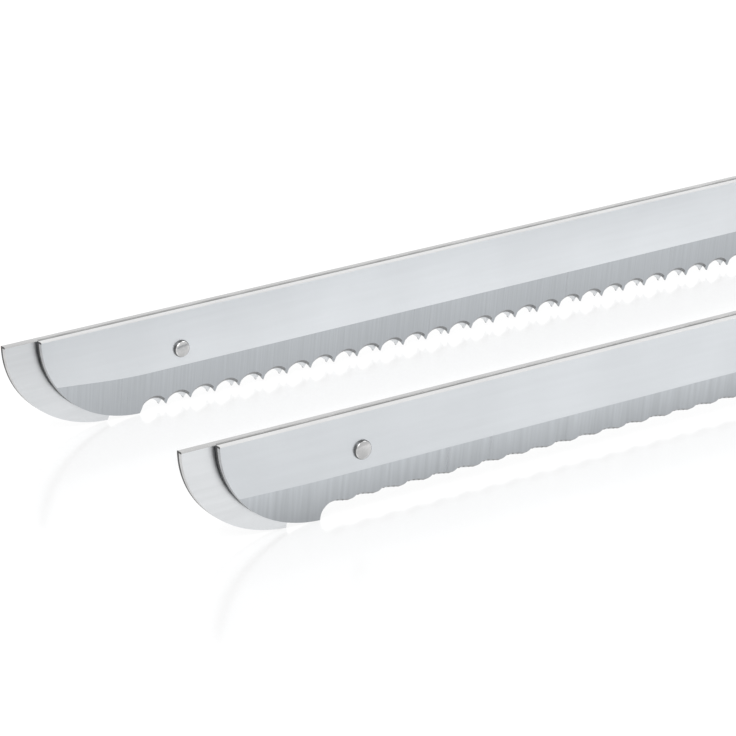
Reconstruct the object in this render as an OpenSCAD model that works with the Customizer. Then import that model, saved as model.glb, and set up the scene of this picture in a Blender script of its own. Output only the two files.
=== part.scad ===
// Electric carving knife with its coarse blade pair fitted and a fine-toothed spare pair beside it.
// Millimetres. +X runs from the blade tips to the rear of the handle, +Y to the user's right, +Z up.
// The origin is the centre of the underside of the base pad, which is also the floor.

/* [Blades] */
// Height of a blade from its spine to its lowest edge
blade_h = 15.35; // [14:0.05:18]
// Thickness of one blade
blade_t = 1.2; // [0.9:0.1:1.5]
// Gap between the two blades of a pair
pair_gap = 0.3; // [0.2:0.05:0.4]
// Length of the fitted blades in front of the nose guard
blade_reach = 190; // [170:1:230]
// Length of the rounded tip along the blade
tip_len = 19.5; // [16:0.5:24]
// Height of the ground bevel above the edge
bevel_h = 5.9; // [4:0.1:8]
// Thickness left at the cutting edge
edge_t = 0.25; // [0.1:0.05:0.5]
// Distance from one tooth point to the next
tooth_pitch = 4.7625; // [4:0.05:6]
// Depth of the coarse scallops
scallop_depth = 1.5; // [1:0.1:2]
// Tip corner to the first tooth point of the coarse pair
first_tooth = 23.64; // [22:0.1:28]
// Depth of the fine scallops
fine_depth = 0.65; // [0.4:0.05:1]
// Distance of the fine tooth points above the lowest edge
fine_recess = 1.5; // [1:0.1:2]
// Plain steel between the last tooth and the nose guard
plain_len = 6; // [4:1:12]
// Distance by which the right blade's tip stands ahead of the left one's
tip_step = 5.8; // [4:0.1:6.2]
// Height of the shank that enters the handle
shank_h = 8.5; // [8:0.1:9]
// Clearance of the fitted blades over the floor
floor_gap = 0.15; // [0.1:0.05:0.5]

/* [Blade rivet] */
// Tip corner to the blade rivet
rivet_x = 26.6; // [24:0.1:32]
// Spine to the blade rivet
rivet_drop = 6.4; // [5:0.1:8]
// Radius of the rivet's head
rivet_head_r = 1.6; // [1.4:0.1:2]
// Height of the rivet's head
rivet_head_h = 0.9; // [0.5:0.1:1.2]
// Radius of the rivet's shank
rivet_r = 1; // [0.8:0.1:1.1]

/* [Tangs] */
// Length of a moulded tang
tang_len = 30; // [28:1:34]
// Thickness of a moulded tang
tang_t = 3.6; // [3.2:0.1:3.8]
// Radius of the tang rivets
tang_rivet_r = 1.2; // [1:0.1:1.5]

/* [Spare pair] */
// Distance of the spare pair to the user's left of the fitted pair
spare_away = 53.7; // [50:0.1:70]
// Distance of the spare pair's tip ahead of the fitted pair's
spare_ahead = 2.3; // [0:0.1:10]
// Turn of the spare pair away from parallel, in degrees
spare_turn = 0.47; // [0:0.01:1]

/* [Housing] */
// Base centre to the front face of the shells
body_front = 100; // [98:1:106]
// Base centre to the rear of the housing
body_rear = 100; // [98:1:110]
// Width of the lower body
body_w = 54; // [54:1:60]
// Width of the grip
grip_w = 30; // [29:1:34]
// Height of the lower body up to the finger opening
body_h = 60; // [60:1:64]
// Length of the finger opening
opening_len = 98; // [94:1:104]
// Height of the finger opening
opening_h = 26; // [24:1:32]
// Offset of the finger opening behind the base centre
opening_x = 8; // [6:1:10]
// Thickness of the grip from finger opening to top
grip_t = 28; // [27:1:32]
// Wall thickness of the shells
wall = 2.4; // [2:0.1:2.6]
// Thickness of the nose guard
guard_t = 6; // [4:0.5:8]
// Height of the nose guard
guard_h = 44; // [42:1:48]
// Width of the nose guard
guard_w = 35; // [34:1:38]

/* [Base pad] */
// Thickness of the rubber base pad
pad_h = 2; // [1.5:0.1:2.5]
// Length of the base pad
pad_len = 140; // [120:1:150]
// Width of the base pad
pad_w = 34; // [30:1:36]

/* [Drive] */
// Eccentric radius, half of each blade's stroke
crank_r = 3.2; // [3:0.1:3.3]
// Height of the drive gear's axle
gear_z = 19; // [18.8:0.1:19.5]
// Distance of the gear axle in front of the base centre
gear_back = 46; // [45:0.5:47]
// Teeth of the drive gear
gear_teeth = 24; // [24:1:24]
// Face width of the drive gear
gear_w = 6; // [5:0.5:7]
// Radius of the gear axle
axle_r = 2; // [1.8:0.1:2.1]
// Play between worm thread and gear tooth
tooth_play = 0.3; // [0.2:0.05:0.4]
// Thickness of a slider
slider_t = 4; // [3.5:0.1:4]
// Running clearance of shafts, discs and slides
run_gap = 0.05; // [0.03:0.01:0.08]
// Clearance between pieces that move past each other
move_gap = 0.3; // [0.25:0.05:0.4]

/* [Motor] */
// Gap between the stator and the side walls
stator_side_gap = 3.6; // [3.4:0.1:4.6]
// Gap between the stator and the wall of the finger opening
stator_top_gap = 3.1; // [3:0.1:3.6]
// Length of the stator and of the armature core
stack_len = 26; // [24:1:28]
// Air gap between armature and stator
air_gap = 0.6; // [0.4:0.1:0.8]
// Width of the ball bearings
bearing_w = 5; // [4:0.5:5]

/* [Controls] */
// Squeeze angle of the trigger, in degrees
trigger_angle = 6; // [4:0.5:6]
// Width of the trigger
trigger_w = 14; // [12:0.5:15]
// Radius of the trigger pin
trigger_pin_r = 2; // [1.6:0.1:2.2]
// Travel of the lock button
lock_travel = 6; // [5:0.5:7]
// Travel of a release button
release_travel = 2.2; // [1.8:0.1:2.3]
// Wire radius of the springs
wire_r = 0.4; // [0.35:0.01:0.42]

/* [Hidden] */

// Overrun of a cut past the face that it opens
over = 1;

// Colours
housing_colour = [0.87, 0.88, 0.89];
accent_colour = [0.30, 0.32, 0.35];
steel_colour = [0.80, 0.82, 0.84];
tang_colour = [0.86, 0.87, 0.88];
nylon_colour = [0.93, 0.93, 0.90];
copper_colour = [0.72, 0.42, 0.22];
brass_colour = [0.80, 0.66, 0.35];

// The gear and the worm are as large as the lower body has room for
gear_module = min(gear_z / 19, body_h / 60);
worm_pitch_r = 4.5 * gear_module;

// Places along the knife
guard_front_x = -(body_front + guard_t);
left_tip_x = guard_front_x - blade_reach;
right_tip_x = left_tip_x - tip_step;
spine_z = floor_gap + blade_h;
half_step = tip_step / 2;
gear_x = -gear_back;
rest_turn = 90 * tip_step / (2 * crank_r);
echo(rest_turn = rest_turn);

// Places across the blades, on the right side
blade_in = pair_gap / 2;
blade_out = blade_in + blade_t;
tang_out = blade_out + tang_t;
arm_in = tang_out + move_gap;
gear_side_room = 1.2;
arm_out = gear_w / 2 + gear_side_room + slider_t;

// Blade lengths, counted from the tip corner
tang_start = blade_reach + guard_t + half_step + 1.5 * blade_t;
tang_end = tang_start + tang_len;
blade_len = tang_end - 2 * blade_t;
teeth_end = blade_reach - half_step - plain_len;
scallop_r = (pow(tooth_pitch / 2, 2) + pow(scallop_depth, 2)) / (2 * scallop_depth);
rivet_slot_half = 2 * crank_r + run_gap;

// Finger opening and outline of the housing
opening_z = body_h + opening_h / 2;
grip_floor_z = body_h + opening_h;
top_z = grip_floor_z + grip_t;
opening_power = 4;
outline_power = 9;
flat_cut = 1.5;
slope_low_z = 45;
slope_top_back = 60;
slope_top_drop = 11;
slope_rise = top_z - slope_top_drop - slope_low_z;
slope_run = body_front - slope_top_back;
slope_angle = 180 - atan2(slope_run, slope_rise);
slope_reach = (-slope_top_back - opening_x) * cos(slope_angle)
    + (slope_low_z + slope_rise - opening_z) * sin(slope_angle);
rear_corner_reach_share = 0.86;
rear_corner_reach = rear_corner_reach_share * norm([body_rear - opening_x, opening_h / 2 + grip_t]);
rear_corner_angle = 35;
nose_overrun = 22;
// Sides of the outline as direction and distance from the opening's centre
outline_sides = [
    [-90, opening_z - pad_h],
    [0, body_rear - opening_x],
    [rear_corner_angle, rear_corner_reach],
    [90, opening_h / 2 + grip_t],
    [slope_angle, slope_reach],
    [180, body_front + opening_x + nose_overrun]];

function smooth(low, high, v) =
    let (s = min(1, max(0, (v - low) / (high - low))))
    s * s * (3 - 2 * s);
function signed_power(v, p) = sign(v) * pow(abs(v), p);
function total(v) = v * [for (i = v) 1];

// Outer radius of the loop in direction a, with all sides moved inwards by inset
function outer_r(a, inset) =
    pow(total([for (s = outline_sides)
        pow(max(0, cos(a - s[0])) / (s[1] + (inset > 0 || s[0] != -90 ? 0 : flat_cut) - inset), outline_power)]),
        -1 / outline_power);

// Radius of the finger opening in direction a, grown by inset
function opening_r(a, inset) =
    pow(pow(abs(cos(a)) / (opening_len / 2 + inset), opening_power)
        + pow(abs(sin(a)) / (opening_h / 2 + inset), opening_power), -1 / opening_power);

// The lower body is wide and square, the grip is slim and round
body_square = 4.5;
grip_square = 2.7;
function body_share(a) = smooth(-0.35, 0.6, -sin(a));
function half_width(a) = grip_w / 2 + body_share(a) * (body_w - grip_w) / 2;
function squareness(a) = grip_square + body_share(a) * (body_square - grip_square);
nose_narrowing = 1 - guard_w / body_w;
taper_start = 44;
function taper(x) = 1 - nose_narrowing * smooth(taper_start, body_front, -x);

function skin_point(a, t, inset) =
    let (r0 = opening_r(a, inset), r1 = outer_r(a, inset), n = squareness(a),
        r = (r0 + r1) / 2 + (r1 - r0) / 2 * signed_power(cos(t), 2 / n),
        x = opening_x + r * cos(a),
        y = (half_width(a) - inset) * signed_power(sin(t), 2 / n))
    [x, y * taper(x), opening_z + r * sin(a)];

// Closed ring round the finger opening, with all of its surface moved inwards by inset
module loop_ring(inset, turns, sides) {
    points = [for (i = [0 : turns - 1], j = [0 : sides - 1])
        skin_point(360 * i / turns, 360 * j / sides, inset)];
    faces = [for (i = [0 : turns - 1], j = [0 : sides - 1])
        let (a = i * sides + j, b = ((i + 1) % turns) * sides + j,
            c = ((i + 1) % turns) * sides + (j + 1) % sides, d = i * sides + (j + 1) % sides)
        each [[a, b, c], [a, c, d]]];
    polyhedron(points = points, faces = faces, convexity = 6);
}

// Round bar along Y from y0 to y1 at a place in the XZ plane
module cross_bar(at, r, y0, y1, fn = 48) {
    translate([at[0], y0, at[1]])
        rotate([-90, 0, 0])
            cylinder(r = r, h = y1 - y0, $fn = fn);
}

// Round bar along X from x0 to x1 at a place in the YZ plane
module long_bar(at, r, x0, x1, fn = 48) {
    translate([x0, at[0], at[1]])
        rotate([0, 90, 0])
            cylinder(r = r, h = x1 - x0, $fn = fn);
}

// Box between two corners
module block(low, high) {
    translate(low)
        cube(high - low);
}

// Plate in the XZ plane between y0 and y1
module side_plate(y0, y1) {
    translate([0, y1, 0])
        rotate([90, 0, 0])
            linear_extrude(height = y1 - y0)
                children();
}

// Plate in the YZ plane between x0 and x1, drawn with Y to the right and Z up
module cross_plate(x0, x1) {
    translate([x0, 0, 0])
        rotate([90, 0, 90])
            linear_extrude(height = x1 - x0)
                children();
}

module mirror_left(left) {
    mirror([0, left ? 1 : 0, 0])
        children();
}

// Coil spring along Z as one tube, with its lower end at the origin
coil_sides = 6;
coil_rings = 8;
function coil_point(i, j, r, length, curls) =
    let (turn = 360 * i / coil_rings, climb = wire_r + (length - 2 * wire_r) * i / (coil_rings * curls),
        side = 360 * j / coil_sides, out = r + wire_r * cos(side))
    [out * cos(turn), out * sin(turn), climb + wire_r * sin(side)];
module coil_spring(r, length, curls) {
    rings = coil_rings * curls + 1;
    points = [for (i = [0 : rings - 1], j = [0 : coil_sides - 1]) coil_point(i, j, r, length, curls)];
    walls = [for (i = [0 : rings - 2], j = [0 : coil_sides - 1])
        let (a = i * coil_sides + j, b = i * coil_sides + (j + 1) % coil_sides,
            c = b + coil_sides, d = a + coil_sides)
        each [[a, b, c], [a, c, d]]];
    start = [for (j = [1 : coil_sides - 2]) [0, j + 1, j]];
    last = (rings - 1) * coil_sides;
    end = [for (j = [1 : coil_sides - 2]) [last, last + j, last + j + 1]];
    polyhedron(points = points, faces = concat(walls, start, end), convexity = 10);
    echo(free_gap = (length - 2 * wire_r) / curls - 2 * wire_r);
}

// Screws
screw_r = 1.5;
screw_head_r = 3;
screw_head_h = 2.2;
boss_r = 4.6;
screw_pocket_r = screw_head_r + move_gap;

// Drive: the motor axis lies above the gear by the centre distance of the worm pair
gear_pitch_r = gear_module * gear_teeth / 2;
motor_z = gear_z + gear_pitch_r + worm_pitch_r;

// The motor fills the lower body between its side walls and up to the finger opening
stator_w = body_w - 2 * (wall + stator_side_gap);
stator_h = min(2 * (body_h - wall - stator_top_gap - motor_z), stator_w * 19 / 21);
stator_bore_r = stator_h * 6 / 19;
shaft_r = stator_h * 3 / 38;
bearing_r = stator_h * 4 / 19;
commutator_r = stator_h * 7 / 38;
fan_r = stator_h * 17 / 38;

disc_r = crank_r + axle_r + 0.8 * gear_module;
disc_slack = 0.2105 * crank_r + 0.1 * gear_module;
yoke_slot_half = disc_r + disc_slack;
yoke_slot_rise = crank_r + disc_r + run_gap;
yoke_rail = 2.5;
yoke_half_len = yoke_slot_half + yoke_rail;
yoke_half_h = yoke_slot_rise + yoke_rail;
slider_in = arm_out - slider_t;
frame_wall = 2;
frame_in = arm_out + move_gap;
frame_out = frame_in + frame_wall;
frame_floor = gear_z - yoke_half_h - move_gap;
frame_top = gear_z + yoke_half_h + move_gap;
bridge_ahead = 16;
bridge_x = gear_x - bridge_ahead;
bridge_t = 4;
bulkhead_back = 20;
bulkhead_x = gear_x + bulkhead_back;
bulkhead_side_gap = 5.6;
bulkhead_half_w = body_w / 2 - wall - bulkhead_side_gap;
bulkhead_low = 7.5;
frame_foot_gap = 0.7;
frame_low = pad_h + wall + frame_foot_gap;
floor_x = gear_x - yoke_half_len + crank_r + over + move_gap;
bulkhead_t = 3;
bush_r = shaft_r * 5 / 3;
bush_lip = 1;
bush_wall_top = motor_z + bush_r + wall;

// Motor stack, fan and rear bearing along the shaft
stack_x = 2;
stack_end = stack_x + stack_len;
fan_x = -19;
rear_bearing_x = 50.5;

// Motor
stator_corner = 3.5;
pole_wall = 0.5;
pole_half = stator_bore_r + pole_wall;
stator_back_t = 3;
window_out = stator_w / 2 - stator_back_t;
window_low = stator_h * 3 / 38;
window_high = stator_h * 13 / 38;
coil_gap = 0.2;
post_y = stator_w * 11 / 28;
post_dz = stator_h * 8 / 19;
post_r = stator_h * 2.6 / 38;
motor_screw_r = stator_h * 1.5 / 38;
bracket_t = 3;
bracket_x = rear_bearing_x + (bearing_w - bracket_t) / 2;
bracket_in = 1.5;
bracket_half_w = stator_w / 2 - bracket_in;
bracket_half_h = stator_h / 2 - bracket_in / 3;
commutator_back = 8;
commutator_x = stack_end + commutator_back;
commutator_len = 11;
brush_mid_x = commutator_x + commutator_len / 2;
brush_half_x = 3;
brush_half_z = 2.5;
brush_spring_room = 3.3;
holder_wall = 1.2;
holder_out = stator_w / 2;
brush_out = holder_out - holder_wall - brush_spring_room;
holder_stand_off = 3;
holder_in = commutator_r + holder_stand_off;
holder_foot = 0.6;
holder_back_x = brush_mid_x + brush_half_x + holder_wall + coil_gap + holder_foot;

// Lugs and housing screws
lug_half = 8;
lug_r = 4.5;
lug_drop = 10.5;
front_lug_rise = stator_h * 7 / 38;
lug_z = body_h - lug_drop;
rear_lug = [bulkhead_x - boss_r - 2 * move_gap, lug_z];
front_lug = [bridge_x - boss_r - move_gap, motor_z + front_lug_rise];
motor_lug = [bracket_x + bracket_t + screw_head_h + boss_r + 3 * move_gap, lug_z];
bulkhead_top = lug_z + lug_r;
// Corner screws, in from the outline's rear, floor and nose
rear_screw_in = 22;
rear_screw_up = 11;
nose_screw_in = 12;
nose_screw_up = 39;
grip_rear_screw = [16, 2];
grip_front_screw = [5, 8];
// Each place is [[x, z], distance of the head's seat and of the boss's end from the middle]
screw_seat_share = 0.52;
screw_places = [
    [rear_lug, body_w / 2 * screw_seat_share, lug_half],
    [front_lug, body_w / 2 * screw_seat_share, lug_half],
    [motor_lug, body_w / 2 * screw_seat_share, lug_half],
    [[body_rear - rear_screw_in, rear_screw_up], body_w / 2 * screw_seat_share, 0],
    [[nose_screw_in - body_front, nose_screw_up], body_w / 4 * screw_seat_share, 0],
    [[opening_x + opening_len / 2 + grip_rear_screw[0], grip_floor_z + grip_rear_screw[1]],
        grip_w / 2 * screw_seat_share, 0],
    [[opening_x - opening_len / 2 - grip_front_screw[0], grip_floor_z + grip_front_screw[1]],
        grip_w / 2 * screw_seat_share, 0]];
screw_bite = 9;

// Trigger and switch in the grip
trigger_ahead = 4;
trigger_pivot_up = 7.5;
trigger_pivot = [opening_x - trigger_ahead, grip_floor_z + trigger_pivot_up];
trigger_len = 40;
trigger_drop = 6;
trigger_top_up = 5.5;
trigger_top = grip_floor_z + trigger_top_up;
trigger_slot_up = 6;
switch_room = 7;
switch_low = trigger_top + switch_room;
switch_len = 30;
switch_h = 9;
switch_ahead = 38;
switch_front_x = trigger_pivot[0] - switch_ahead;
switch_half_w = 7;
switch_roof = 1.5;
plunger_ahead = 20;
plunger_x = trigger_pivot[0] - plunger_ahead;
plunger_r = 1.8;
plunger_travel = plunger_ahead * sin(trigger_angle);
lock_ahead = 24;
lock_x = trigger_pivot[0] - lock_ahead;
lock_half_len = 4;
lock_half_w = 4;
lock_rise = 2.5;
lock_lip = 2;
lock_plate_t = 1.4;
lock_stem_half = lock_half_w - lock_lip / 2;
trigger_boss_t = 2;
trigger_heel = 4;
trigger_pin_end = grip_w / 2 - 1.5 * wall;

// Release buttons
release_ahead = 22;
release_x = gear_x - release_ahead;
release_z = spine_z - shank_h / 2;
release_half_len = 4;
release_r = 5;

// Inlet
inlet_up = 26;
inlet_z = pad_h + inlet_up;
inlet_half_w = 12;
inlet_half_h = 7.5;
inlet_sunk = 3;
inlet_len = 21;
inlet_back = body_rear - inlet_sunk;
inlet_front = inlet_back - inlet_len;
inlet_rib_t = 4;

// Vent slots on both sides, beside the fan and beside the brushes
vent_count = 5;
vent_pitch = 4.5;
vent_r = 1.1;
vent_len = 20;
vent_low = 6;
brush_vent_back = 9;
vent_places = [fan_x, stack_end + brush_vent_back];

// Ribs beside the stator
rib_half_t = 1;
rib_places = [stack_x + stack_len / 4, stack_x + stack_len * 3 / 4];

module pill_bar(at, half_len, r, y0, y1) {
    hull() {
        cross_bar([at[0] - half_len, at[1]], r, y0, y1, 32);
        cross_bar([at[0] + half_len, at[1]], r, y0, y1, 32);
    }
}

module vent_slots() {
    for (x0 = vent_places, k = [0 : vent_count - 1])
        hull()
            for (rise = [0, vent_len])
                cross_bar([x0 + vent_pitch * k, gear_z + vent_low + rise], vent_r, 0, body_w, 12);
}

module shell(left) {
    skin_turns = 72;
    skin_sides = 28;
    cavity_turns = 48;
    cavity_sides = 20;
    boss_fn = 20;
    screw_bore_r = (screw_r + run_gap) / cos(180 / boss_fn);
    difference() {
        union() {
            difference() {
                loop_ring(0, skin_turns, skin_sides);
                loop_ring(wall, cavity_turns, cavity_sides);
            }
            // Screw bosses, ribs beside the stator and seats for the switch and the socket
            intersection() {
                loop_ring(wall / 2, skin_turns, skin_sides);
                union() {
                    for (s = screw_places)
                        cross_bar(s[0], boss_r, s[2], body_w, boss_fn);
                    for (x = rib_places)
                        block([x - rib_half_t, stator_w / 2, motor_z - stator_h / 4],
                            [x + rib_half_t, body_w / 2, motor_z + stator_h / 4]);
                    block([switch_front_x + switch_h / 4, switch_half_w, switch_low + switch_h / 8],
                        [switch_front_x + switch_len - switch_h / 4, grip_w / 2, switch_low + switch_h * 7 / 8]);
                    cross_bar(trigger_pivot, trigger_pin_r + trigger_boss_t,
                        trigger_w / 2 + move_gap, grip_w / 2, boss_fn);
                    block([inlet_front, inlet_half_w, inlet_z - inlet_rib_t],
                        [inlet_front + inlet_rib_t, body_w / 2, inlet_z + inlet_rib_t]);
                }
            }
        }
        // Everything on the other side of the joint plane, under the pad and before the nose
        block([-2 * body_front, -body_w, -body_w], [2 * body_rear, 0, 3 * body_w]);
        block([-2 * body_front, -body_w, -body_w], [2 * body_rear, body_w, pad_h]);
        block([-2 * body_front, -body_w, -body_w], [-body_front, body_w, 3 * body_w]);
        // Blade and tang passage through the joint plane
        block([-body_front - over, -over, low_lip_z - lip_t - move_gap],
            [bridge_x, leaf_out + 2 * move_gap, high_lip_z + lip_t + move_gap]);
        // Screws
        for (s = screw_places) {
            cross_bar(s[0], screw_bore_r, -over, left ? s[2] + screw_bite + over : body_w, boss_fn);
            if (!left)
                cross_bar(s[0], screw_pocket_r, s[1], body_w, boss_fn);
        }
        // Trigger slot, trigger pin, lock slot, release button hole and inlet window
        block([trigger_pivot[0] - trigger_len - move_gap, -over, opening_z],
            [trigger_pivot[0] + trigger_heel + move_gap, trigger_w / 2 + move_gap, grip_floor_z + trigger_slot_up]);
        cross_bar(trigger_pivot, trigger_pin_r / cos(180 / boss_fn), -over, trigger_pin_end, boss_fn);
        block([lock_x - lock_half_len - move_gap, -over, top_z - 2 * wall],
            [lock_x + lock_half_len + lock_travel + move_gap, lock_stem_half + move_gap, top_z + wall]);
        pill_bar([release_x, release_z], release_half_len, release_r + move_gap, leaf_out + over, body_w);
        block([inlet_front - over, -over, inlet_z - inlet_half_h],
            [body_rear + over, inlet_half_w, inlet_z + inlet_half_h]);
        vent_slots();
    }
}

module left_shell() {
    color(housing_colour)
        mirror_left(true)
            shell(true);
}

module right_shell() {
    color(housing_colour)
        shell(false);
}

// Rounded outline of the nose guard, grown by extra
guard_power = 3.2;
guard_points = 60;
guard_mid_z = pad_h / 2 + guard_h / 2;
module guard_outline(extra) {
    polygon([for (i = [0 : guard_points - 1])
        let (a = 360 * i / guard_points)
        [(guard_w / 2 + extra) * signed_power(cos(a), 2 / guard_power),
            guard_mid_z + (guard_h / 2 + extra) * signed_power(sin(a), 2 / guard_power)]]);
}

module nose_guard() {
    passage_half = tang_out + 2 * move_gap;
    color(accent_colour)
        difference() {
            union() {
                cross_plate(-body_front - guard_t, -body_front - guard_t / 3)
                    guard_outline(-guard_t / 4);
                cross_plate(-body_front - guard_t / 3 * 2, -body_front)
                    guard_outline(0);
            }
            block([-body_front - 2 * guard_t, -passage_half, spine_z - shank_h - 2 * move_gap],
                [-body_front + over, passage_half, spine_z + 2 * move_gap]);
        }
}

module base_pad() {
    color(accent_colour)
        difference() {
            union() {
                block([-pad_len / 2 + pad_w / 2, -pad_w / 2, 0], [pad_len / 2 - pad_w / 2, pad_w / 2, pad_h]);
                for (side = [-1, 1])
                    translate([side * (pad_len - pad_w) / 2, 0, 0])
                        cylinder(r = pad_w / 2, h = pad_h, $fn = 64);
            }
            // Grip grooves across the underside
            for (k = [-3 : 3])
                block([k * pad_len / 8 - pad_h / 2, -pad_w / 3, -over],
                    [k * pad_len / 8 + pad_h / 2, pad_w / 3, pad_h / 3]);
        }
}

module shell_screws() {
    color(steel_colour)
        for (s = screw_places) {
            difference() {
                union() {
                    cross_bar(s[0], screw_r, -s[2] - screw_bite, s[1]);
                    cross_bar(s[0], screw_head_r, s[1], s[1] + screw_head_h);
                }
                block([s[0][0] - screw_r, s[1] + screw_head_h / 2, s[0][1] - screw_r / 4],
                    [s[0][0] + screw_r, s[1] + 2 * screw_head_h, s[0][1] + screw_r / 4]);
                block([s[0][0] - screw_r / 4, s[1] + screw_head_h / 2, s[0][1] - screw_r],
                    [s[0][0] + screw_r / 4, s[1] + 2 * screw_head_h, s[0][1] + screw_r]);
            }
        }
}

// Appliance inlet with a figure-eight recess for a lead with a plug of its own
inlet_recess = 13;
inlet_pin_half_pitch = 4.3;
inlet_pin_r = 1.2;
inlet_recess_r = 3.9;
inlet_tab = 5;
inlet_pin_sunk = 3;
module inlet_socket() {
    color(accent_colour)
        difference() {
            block([inlet_front, -inlet_half_w, inlet_z - inlet_half_h],
                [inlet_back, inlet_half_w, inlet_z + inlet_half_h]);
            for (side = [-1, 1])
                long_bar([side * inlet_pin_half_pitch, inlet_z], inlet_recess_r,
                    inlet_back - inlet_recess, inlet_back + over);
            block([inlet_back - inlet_recess, -inlet_pin_half_pitch, inlet_z - inlet_recess_r],
                [inlet_back + over, inlet_pin_half_pitch, inlet_z + inlet_recess_r]);
            for (side = [-1, 1])
                long_bar([side * inlet_pin_half_pitch, inlet_z], inlet_pin_r,
                    inlet_front - over, inlet_back - inlet_recess + over);
        }
}

module inlet_pins() {
    color(brass_colour)
        for (side = [-1, 1])
            long_bar([side * inlet_pin_half_pitch, inlet_z], inlet_pin_r,
                inlet_front - inlet_tab, inlet_back - inlet_pin_sunk);
}

module gear_frame() {
    color(nylon_colour)
        difference() {
            union() {
                // Floor under the sliders and the two guide walls
                block([floor_x, -frame_out, frame_low], [bulkhead_x, frame_out, frame_floor]);
                for (side = [0, 1])
                    mirror([0, side, 0]) {
                        block([floor_x, frame_in, frame_low], [bulkhead_x, frame_out, motor_z]);
                        block([bridge_x, frame_in, spine_z + bridge_t], [bulkhead_x, frame_out, bush_wall_top]);
                        block([bridge_x, worm_pitch_r + 2.2 * gear_module, frame_top],
                            [bulkhead_x, frame_in + over, frame_top + frame_wall]);
                    }
                // Bridge for the front bush
                block([bridge_x, -frame_out, frame_top], [bridge_x + bridge_t, frame_out, bush_wall_top]);
                // Bulkhead for the middle bearing
                block([bulkhead_x, -bulkhead_half_w, bulkhead_low],
                    [bulkhead_x + bulkhead_t, bulkhead_half_w, bulkhead_top]);
                // Lugs that the housing screws clamp
                cross_bar(rear_lug, lug_r, -lug_half, lug_half);
                block([rear_lug[0], -lug_half, rear_lug[1] - lug_r],
                    [bulkhead_x + over, lug_half, rear_lug[1] + lug_r]);
                cross_bar(front_lug, lug_r, -lug_half, lug_half);
                block([front_lug[0], -lug_half, front_lug[1] - lug_r],
                    [bridge_x + over, lug_half, front_lug[1] + lug_r]);
            }
            // Room for the gear's teeth in the floor
            block([gear_x - gear_pitch_r / 2, -gear_w / 2 - move_gap, 0],
                [gear_x + gear_pitch_r / 2, gear_w / 2 + move_gap, gear_z - gear_pitch_r]);
            for (lug = [rear_lug, front_lug]) {
                cross_bar(lug, screw_r + 2 * run_gap, -frame_out - over, frame_out + over);
                for (side = [0, 1])
                    mirror([0, side, 0])
                        cross_bar(lug, boss_r + move_gap, lug_half, frame_out + over);
            }
            cross_bar([gear_x, gear_z], axle_r, -frame_out - over, frame_out + over);
            long_bar([0, motor_z], bush_r, front_lug[0] - 2 * lug_r, bridge_x + bridge_t + over);
            long_bar([0, motor_z], bearing_r, bulkhead_x - over, bulkhead_x + bulkhead_t + over);
        }
}

module gear_axle() {
    color(steel_colour)
        cross_bar([gear_x, gear_z], axle_r, -frame_out, frame_out);
}

module front_bush() {
    color(brass_colour)
        difference() {
            long_bar([0, motor_z], bush_r, bridge_x - bush_lip, bridge_x + bridge_t);
            long_bar([0, motor_z], shaft_r + run_gap, bridge_x - bush_lip - over, bridge_x + bridge_t + over);
        }
}

// Ball bearing drawn as two rings with a row of balls
module ball_bearing(x0) {
    ring_t = (bearing_r - shaft_r) / 4;
    color(steel_colour)
        difference() {
            long_bar([0, motor_z], bearing_r, x0, x0 + bearing_w);
            long_bar([0, motor_z], shaft_r + run_gap, x0 - over, x0 + bearing_w + over);
            for (x = [x0 - over, x0 + bearing_w - ring_t])
                difference() {
                    long_bar([0, motor_z], bearing_r - ring_t, x, x + ring_t + over);
                    long_bar([0, motor_z], shaft_r + ring_t, x - over, x + ring_t + 2 * over);
                }
        }
}

module middle_bearing() {
    ball_bearing(bulkhead_x - (bearing_w - bulkhead_t) / 2);
}

module rear_bearing() {
    ball_bearing(rear_bearing_x);
}

module stator_core() {
    color([0.45, 0.47, 0.50])
        difference() {
            translate([0, 0, motor_z])
                cross_plate(stack_x, stack_end)
                    polygon([for (q = [[1, 1], [-1, 1], [-1, -1], [1, -1]], first = [true, false])
                        let (cut_y = first == (q[0] * q[1] < 0))
                        [q[0] * (stator_w / 2 - (cut_y ? stator_corner : 0)),
                            q[1] * (stator_h / 2 - (cut_y ? 0 : stator_corner))]]);
            long_bar([0, motor_z], stator_bore_r, stack_x - over, stack_end + over);
            for (sy = [-1, 1], sz = [-1, 1]) {
                translate([0, sy * (pole_half + window_out) / 2, motor_z + sz * (window_low + window_high) / 2])
                    cross_plate(stack_x - over, stack_end + over)
                        square([window_out - pole_half, window_high - window_low], center = true);
                long_bar([sy * post_y, motor_z + sz * post_dz], motor_screw_r, stack_x - over, stack_end + over);
            }
        }
}

module field_coils() {
    leg_in = pole_half + coil_gap;
    leg_out = window_out - coil_gap;
    turn_x = 3.5;
    turn_half = pole_half + 4 * coil_gap;
    leg_over = 2;
    color(copper_colour)
        for (sz = [-1, 1])
            translate([0, 0, motor_z])
                mirror([0, 0, sz < 0 ? 1 : 0]) {
                    for (side = [0, 1])
                        mirror([0, side, 0])
                            block([stack_x - turn_x - leg_over, leg_in, window_low + coil_gap],
                                [stack_end + turn_x + leg_over, leg_out, window_high - coil_gap]);
                    for (x = [stack_x - turn_x - leg_over, stack_end + coil_gap])
                        block([x, -turn_half, stator_bore_r + coil_gap],
                            [x + turn_x + leg_over - coil_gap, turn_half, post_dz + coil_gap]);
                }
}

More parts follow.
